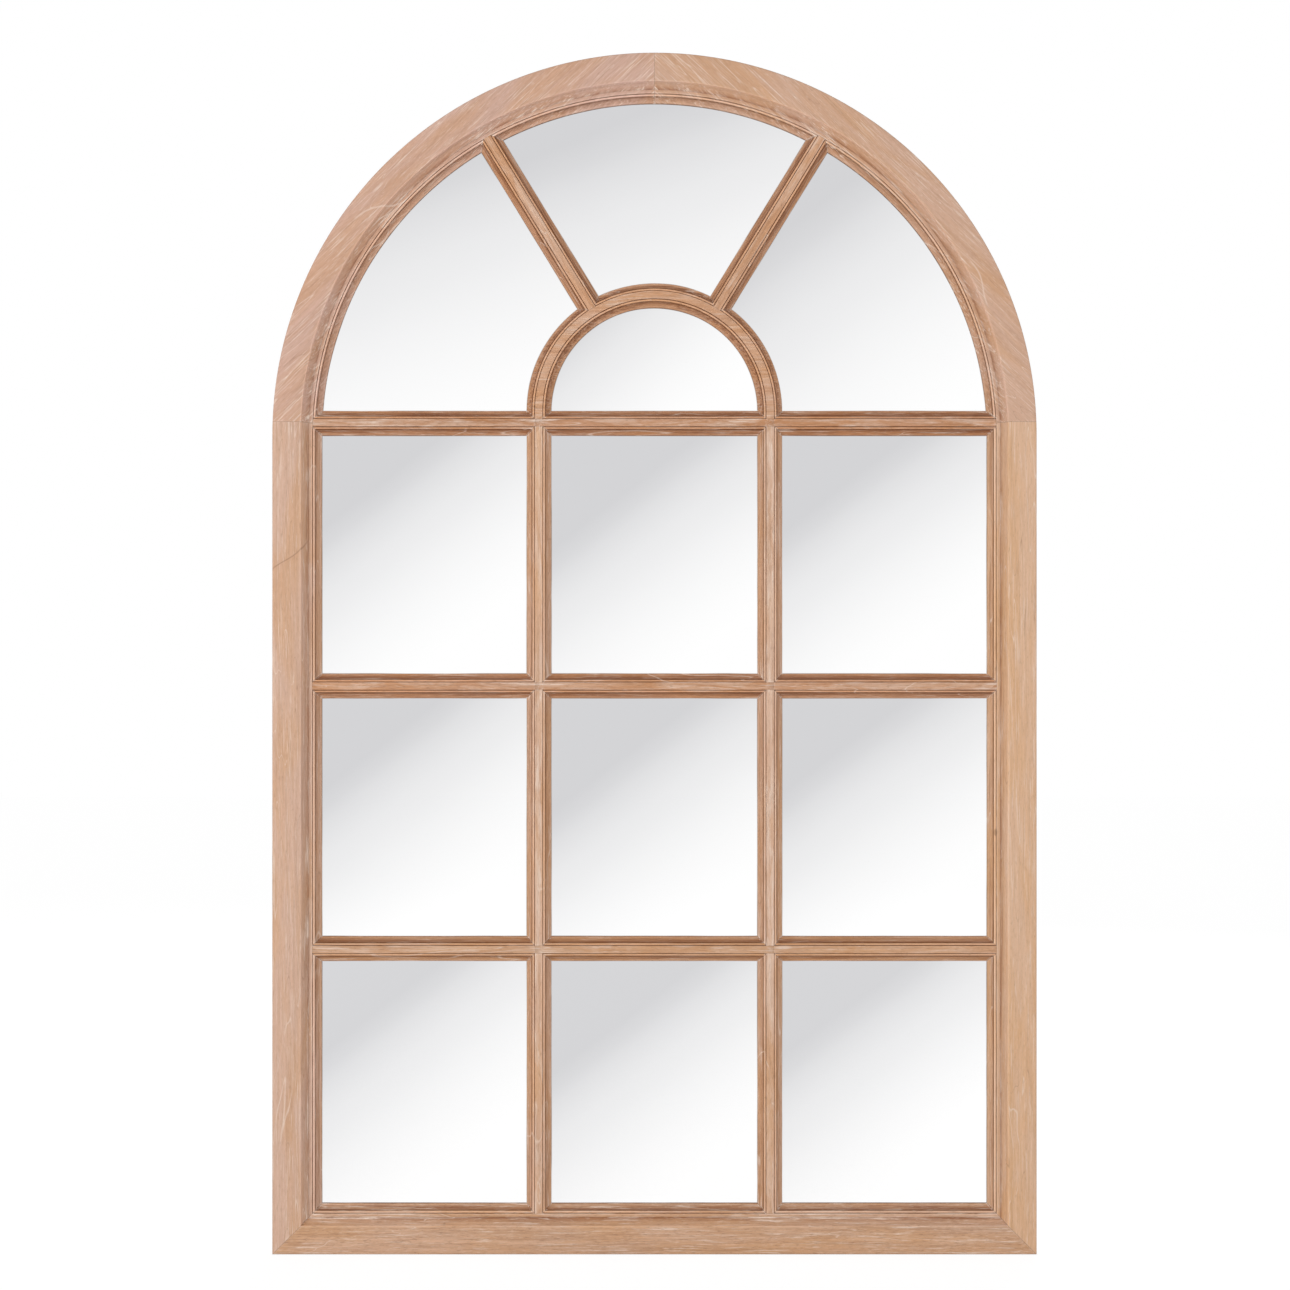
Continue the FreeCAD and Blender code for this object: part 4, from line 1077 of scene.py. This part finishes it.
def screws_shape(name, places, seat):
    """Pan-head screws with a cross recess, driven forward into the timber."""
    bm = bmesh.new()
    tip, top = bm.verts.new((0, SCREW_OUTLINE[-1][1], 0)), bm.verts.new((0, SCREW_OUTLINE[0][1], 0))
    rings = []
    for radius, height in SCREW_OUTLINE[1:-1]:
        turns = [math.tau * step / SCREW_STEPS for step in range(SCREW_STEPS)]
        rings.append([bm.verts.new((radius * math.cos(turn), height, radius * math.sin(turn)))
                      for turn in turns])
    skin(bm, rings)
    for a, b in zip(rings[0], rings[0][1:] + rings[0][:1]):
        bm.faces.new((top, a, b))
    for a, b in zip(rings[-1], rings[-1][1:] + rings[-1][:1]):
        bm.faces.new((tip, b, a))
    single = new_object(name + "_single", bm)
    recess = bmesh.new()
    for long_x, long_z in ((1.55, 0.3), (0.3, 1.55)):
        outer = [recess.verts.new((a * long_x, RECESS_TOP, b * long_z)) for a, b in SQUARE]
        inner = [recess.verts.new((a * long_x * 0.5, RECESS_FLOOR, b * long_z * 0.9)) for a, b in SQUARE]
        solid(recess, [outer, inner])
    subtract(single, new_object(name + "_recess", recess))
    whole = bmesh.new()
    for number, (x, z) in enumerate(places):
        turned = single.data.copy()
        # each recess has stopped at its own angle
        turn = Matrix.Rotation(0.9 * number + 0.3, 4, "Y")
        # the shank points to the front, which is -Y
        turned.transform(Matrix.Translation((x * MM, -seat * MM, z * MM)) @ Matrix.Scale(MM, 4)
                         @ Matrix.Rotation(math.pi, 4, "Z") @ turn)
        whole.from_mesh(turned)
        bpy.data.meshes.remove(turned)
    bpy.data.objects.remove(single)
    return new_object(name, whole)


def bumpers_shape(name):
    """Moulded rubber blocks with eased edges."""
    reach = SIGHT + (BOARD_REBATE + FRAME_WIDTH) / 2
    turn = math.radians(60)
    foot_x = HALF_WIDTH - 74.0
    centres = [(0.0, BUMPER / 2)]
    for side in (1, -1):
        centres.append((reach * math.cos(turn) * side, ARCH_Z + reach * math.sin(turn)))
        centres.append((foot_x * side, BUMPER / 2))
    bm = bmesh.new()
    for x, z in centres:
        for corner in bmesh.ops.create_cube(bm, size=1.0)["verts"]:
            corner.co = Vector(((x + corner.co.x * BUMPER) * MM,
                                (-FRAME_BACK / 2 + corner.co.y * FRAME_BACK) * MM,
                                (z + corner.co.z * BUMPER) * MM))
    bmesh.ops.bevel(bm, geom=bm.edges[:] + bm.verts[:], offset=1.2 * MM, segments=4, profile=0.5,
                    affect="EDGES")
    return new_object(name, bm)


def screw_places():
    """Where the board is screwed to the frame, on the shelf of its rebate."""
    shelf = (REBATE + BOARD_REBATE) / 2
    reach = SIGHT + shelf
    places = [(0.0, FRAME_WIDTH - shelf)]
    for side in (1, -1):
        places.append(((MULLION_X + SIGHT) / 2 * side, FRAME_WIDTH - shelf))
        for low, high in ((FRAME_WIDTH, LOWER_Z), (LOWER_Z, MIDDLE_Z), (MIDDLE_Z, TOP_Z)):
            places.append((reach * side, (low + high) / 2))
        for turn in (math.radians(25), math.radians(68)):
            places.append((reach * math.cos(turn) * side, ARCH_Z + reach * math.sin(turn)))
    return places


# piece, node, body, slot, material, and the angle from which an edge stays sharp
HARDWARE = []
for side, word in ((-1, "left"), (1, "right")):
    HARDWARE += [(strap_shape("zinc_hanger_strap_" + word, side), "hanger_strap_" + word, "frame",
                  "zinc_steel", ZINC, 40),
                 (ring_shape("zinc_hanger_ring_" + word, side), "hanger_ring_" + word, "ring_" + word,
                  "zinc_steel", ZINC, 60)]
hanger_places = [(HANGER_X * side, HANGER_Z - drop) for side in (1, -1) for drop in SCREW_DROPS]
HARDWARE += [
    (screws_shape("zinc_backing_screws", screw_places(), BOARD_BACK), "backing_screws", "frame",
     "zinc_steel", ZINC, 35),
    (screws_shape("zinc_hanger_screws", hanger_places, FRAME_BACK - STRAP_THICKNESS), "hanger_screws",
     "frame", "zinc_steel", ZINC, 35),
    (bumpers_shape("rubber_wall_bumpers"), "wall_bumpers", "frame", "bumper_rubber",
     rubber("black_rubber"), 40),
]
for piece, node, body, slot, material, angle in HARDWARE:
    smooth(piece, angle)
    dress(piece, node, body, slot, material)


# ---------------------------------------------------------------- floor, light and camera

HORIZON = 0.95
ZENITH = 0.38
FLOOR_HALF = 9.0
FLOOR_GLOW = 1.12
GLOW_SHARE = 0.8


def background_rays(n):
    """1 for rays that show the background: straight from the camera, off gloss or through glass."""
    path = n.add("LightPath").outputs
    shown = path["Is Camera Ray"]
    for name in ("Is Glossy Ray", "Is Transmission Ray"):
        shown = n.math("MAXIMUM", shown, path[name])
    return shown


def studio():
    """White to those rays, and as a light it fades from the horizon to the zenith."""
    n = Nodes("studio", "worlds")
    rise = n.split(n.add("TexCoord").outputs["Generated"])[2]
    light = n.remap(rise, 0.0, 1.0, HORIZON, ZENITH)
    strength = n.add("Mix", {0: background_rays(n), 2: light, 3: 1.0}, data_type="FLOAT")
    n.feed(n.shader, {"Strength": strength.outputs[0], "Color": (1, 1, 1, 1)})
    return n.owner


def pale_floor():
    """Pale matt, and near white to those rays, so that it runs into the background."""
    n = Nodes("pale_floor")
    n.feed(n.shader, {"Base Color": (0.8, 0.8, 0.8, 1), "Roughness": 0.9})
    glow = n.add("Emission", {"Strength": FLOOR_GLOW})
    share = n.product(background_rays(n), GLOW_SHARE)
    blend = n.add("MixShader", {0: share, 1: n.shader.outputs[0], 2: glow.outputs[0]})
    n.feed(n.tree.nodes["Material Output"], {0: blend.outputs[0]})
    return n.owner


bpy.context.scene.world = studio()

bm = bmesh.new()
bmesh.ops.create_grid(bm, x_segments=1, y_segments=1, size=FLOOR_HALF)
floor = new_object("floor", bm)
# just under the foot, so that the two faces don't lie in each other
floor.location.z = -0.0006
floor.data.materials.append(pale_floor())


def lamp(name, place, size, power, target=(0, 0, 0.9)):
    data = bpy.data.lights.new(name, "AREA")
    data.size = size
    data.energy = power
    made = bpy.data.objects.new(name, data)
    made.location = place
    made.rotation_euler = (Vector(target) - Vector(place)).to_track_quat("-Z", "Y").to_euler()
    # the panes would show the lamps
    made.visible_glossy = False
    bpy.context.scene.collection.objects.link(made)


lamp("key", (-3.2, -2.8, 0.6), 1.8, 72)
lamp("fill", (3.0, -2.8, 0.8), 2.4, 31)
lamp("behind", (0.6, 2.6, 2.2), 2.4, 40)

CAMERA_X = -0.0142
CAMERA_Z = 0.9127
CAMERA_DISTANCE = 3.0
FIELD_WIDTH = 1.931
camera_data = bpy.data.cameras.new("camera")
camera_data.sensor_width = 36.0
camera_data.lens = camera_data.sensor_width * CAMERA_DISTANCE / FIELD_WIDTH
camera = bpy.data.objects.new("camera", camera_data)
camera.location = (CAMERA_X, -FRONT * MM - CAMERA_DISTANCE, CAMERA_Z)
camera.rotation_euler = (math.radians(90), 0, 0)
bpy.context.scene.collection.objects.link(camera)
bpy.context.scene.camera = camera
bpy.context.scene.view_settings.view_transform = "Standard"
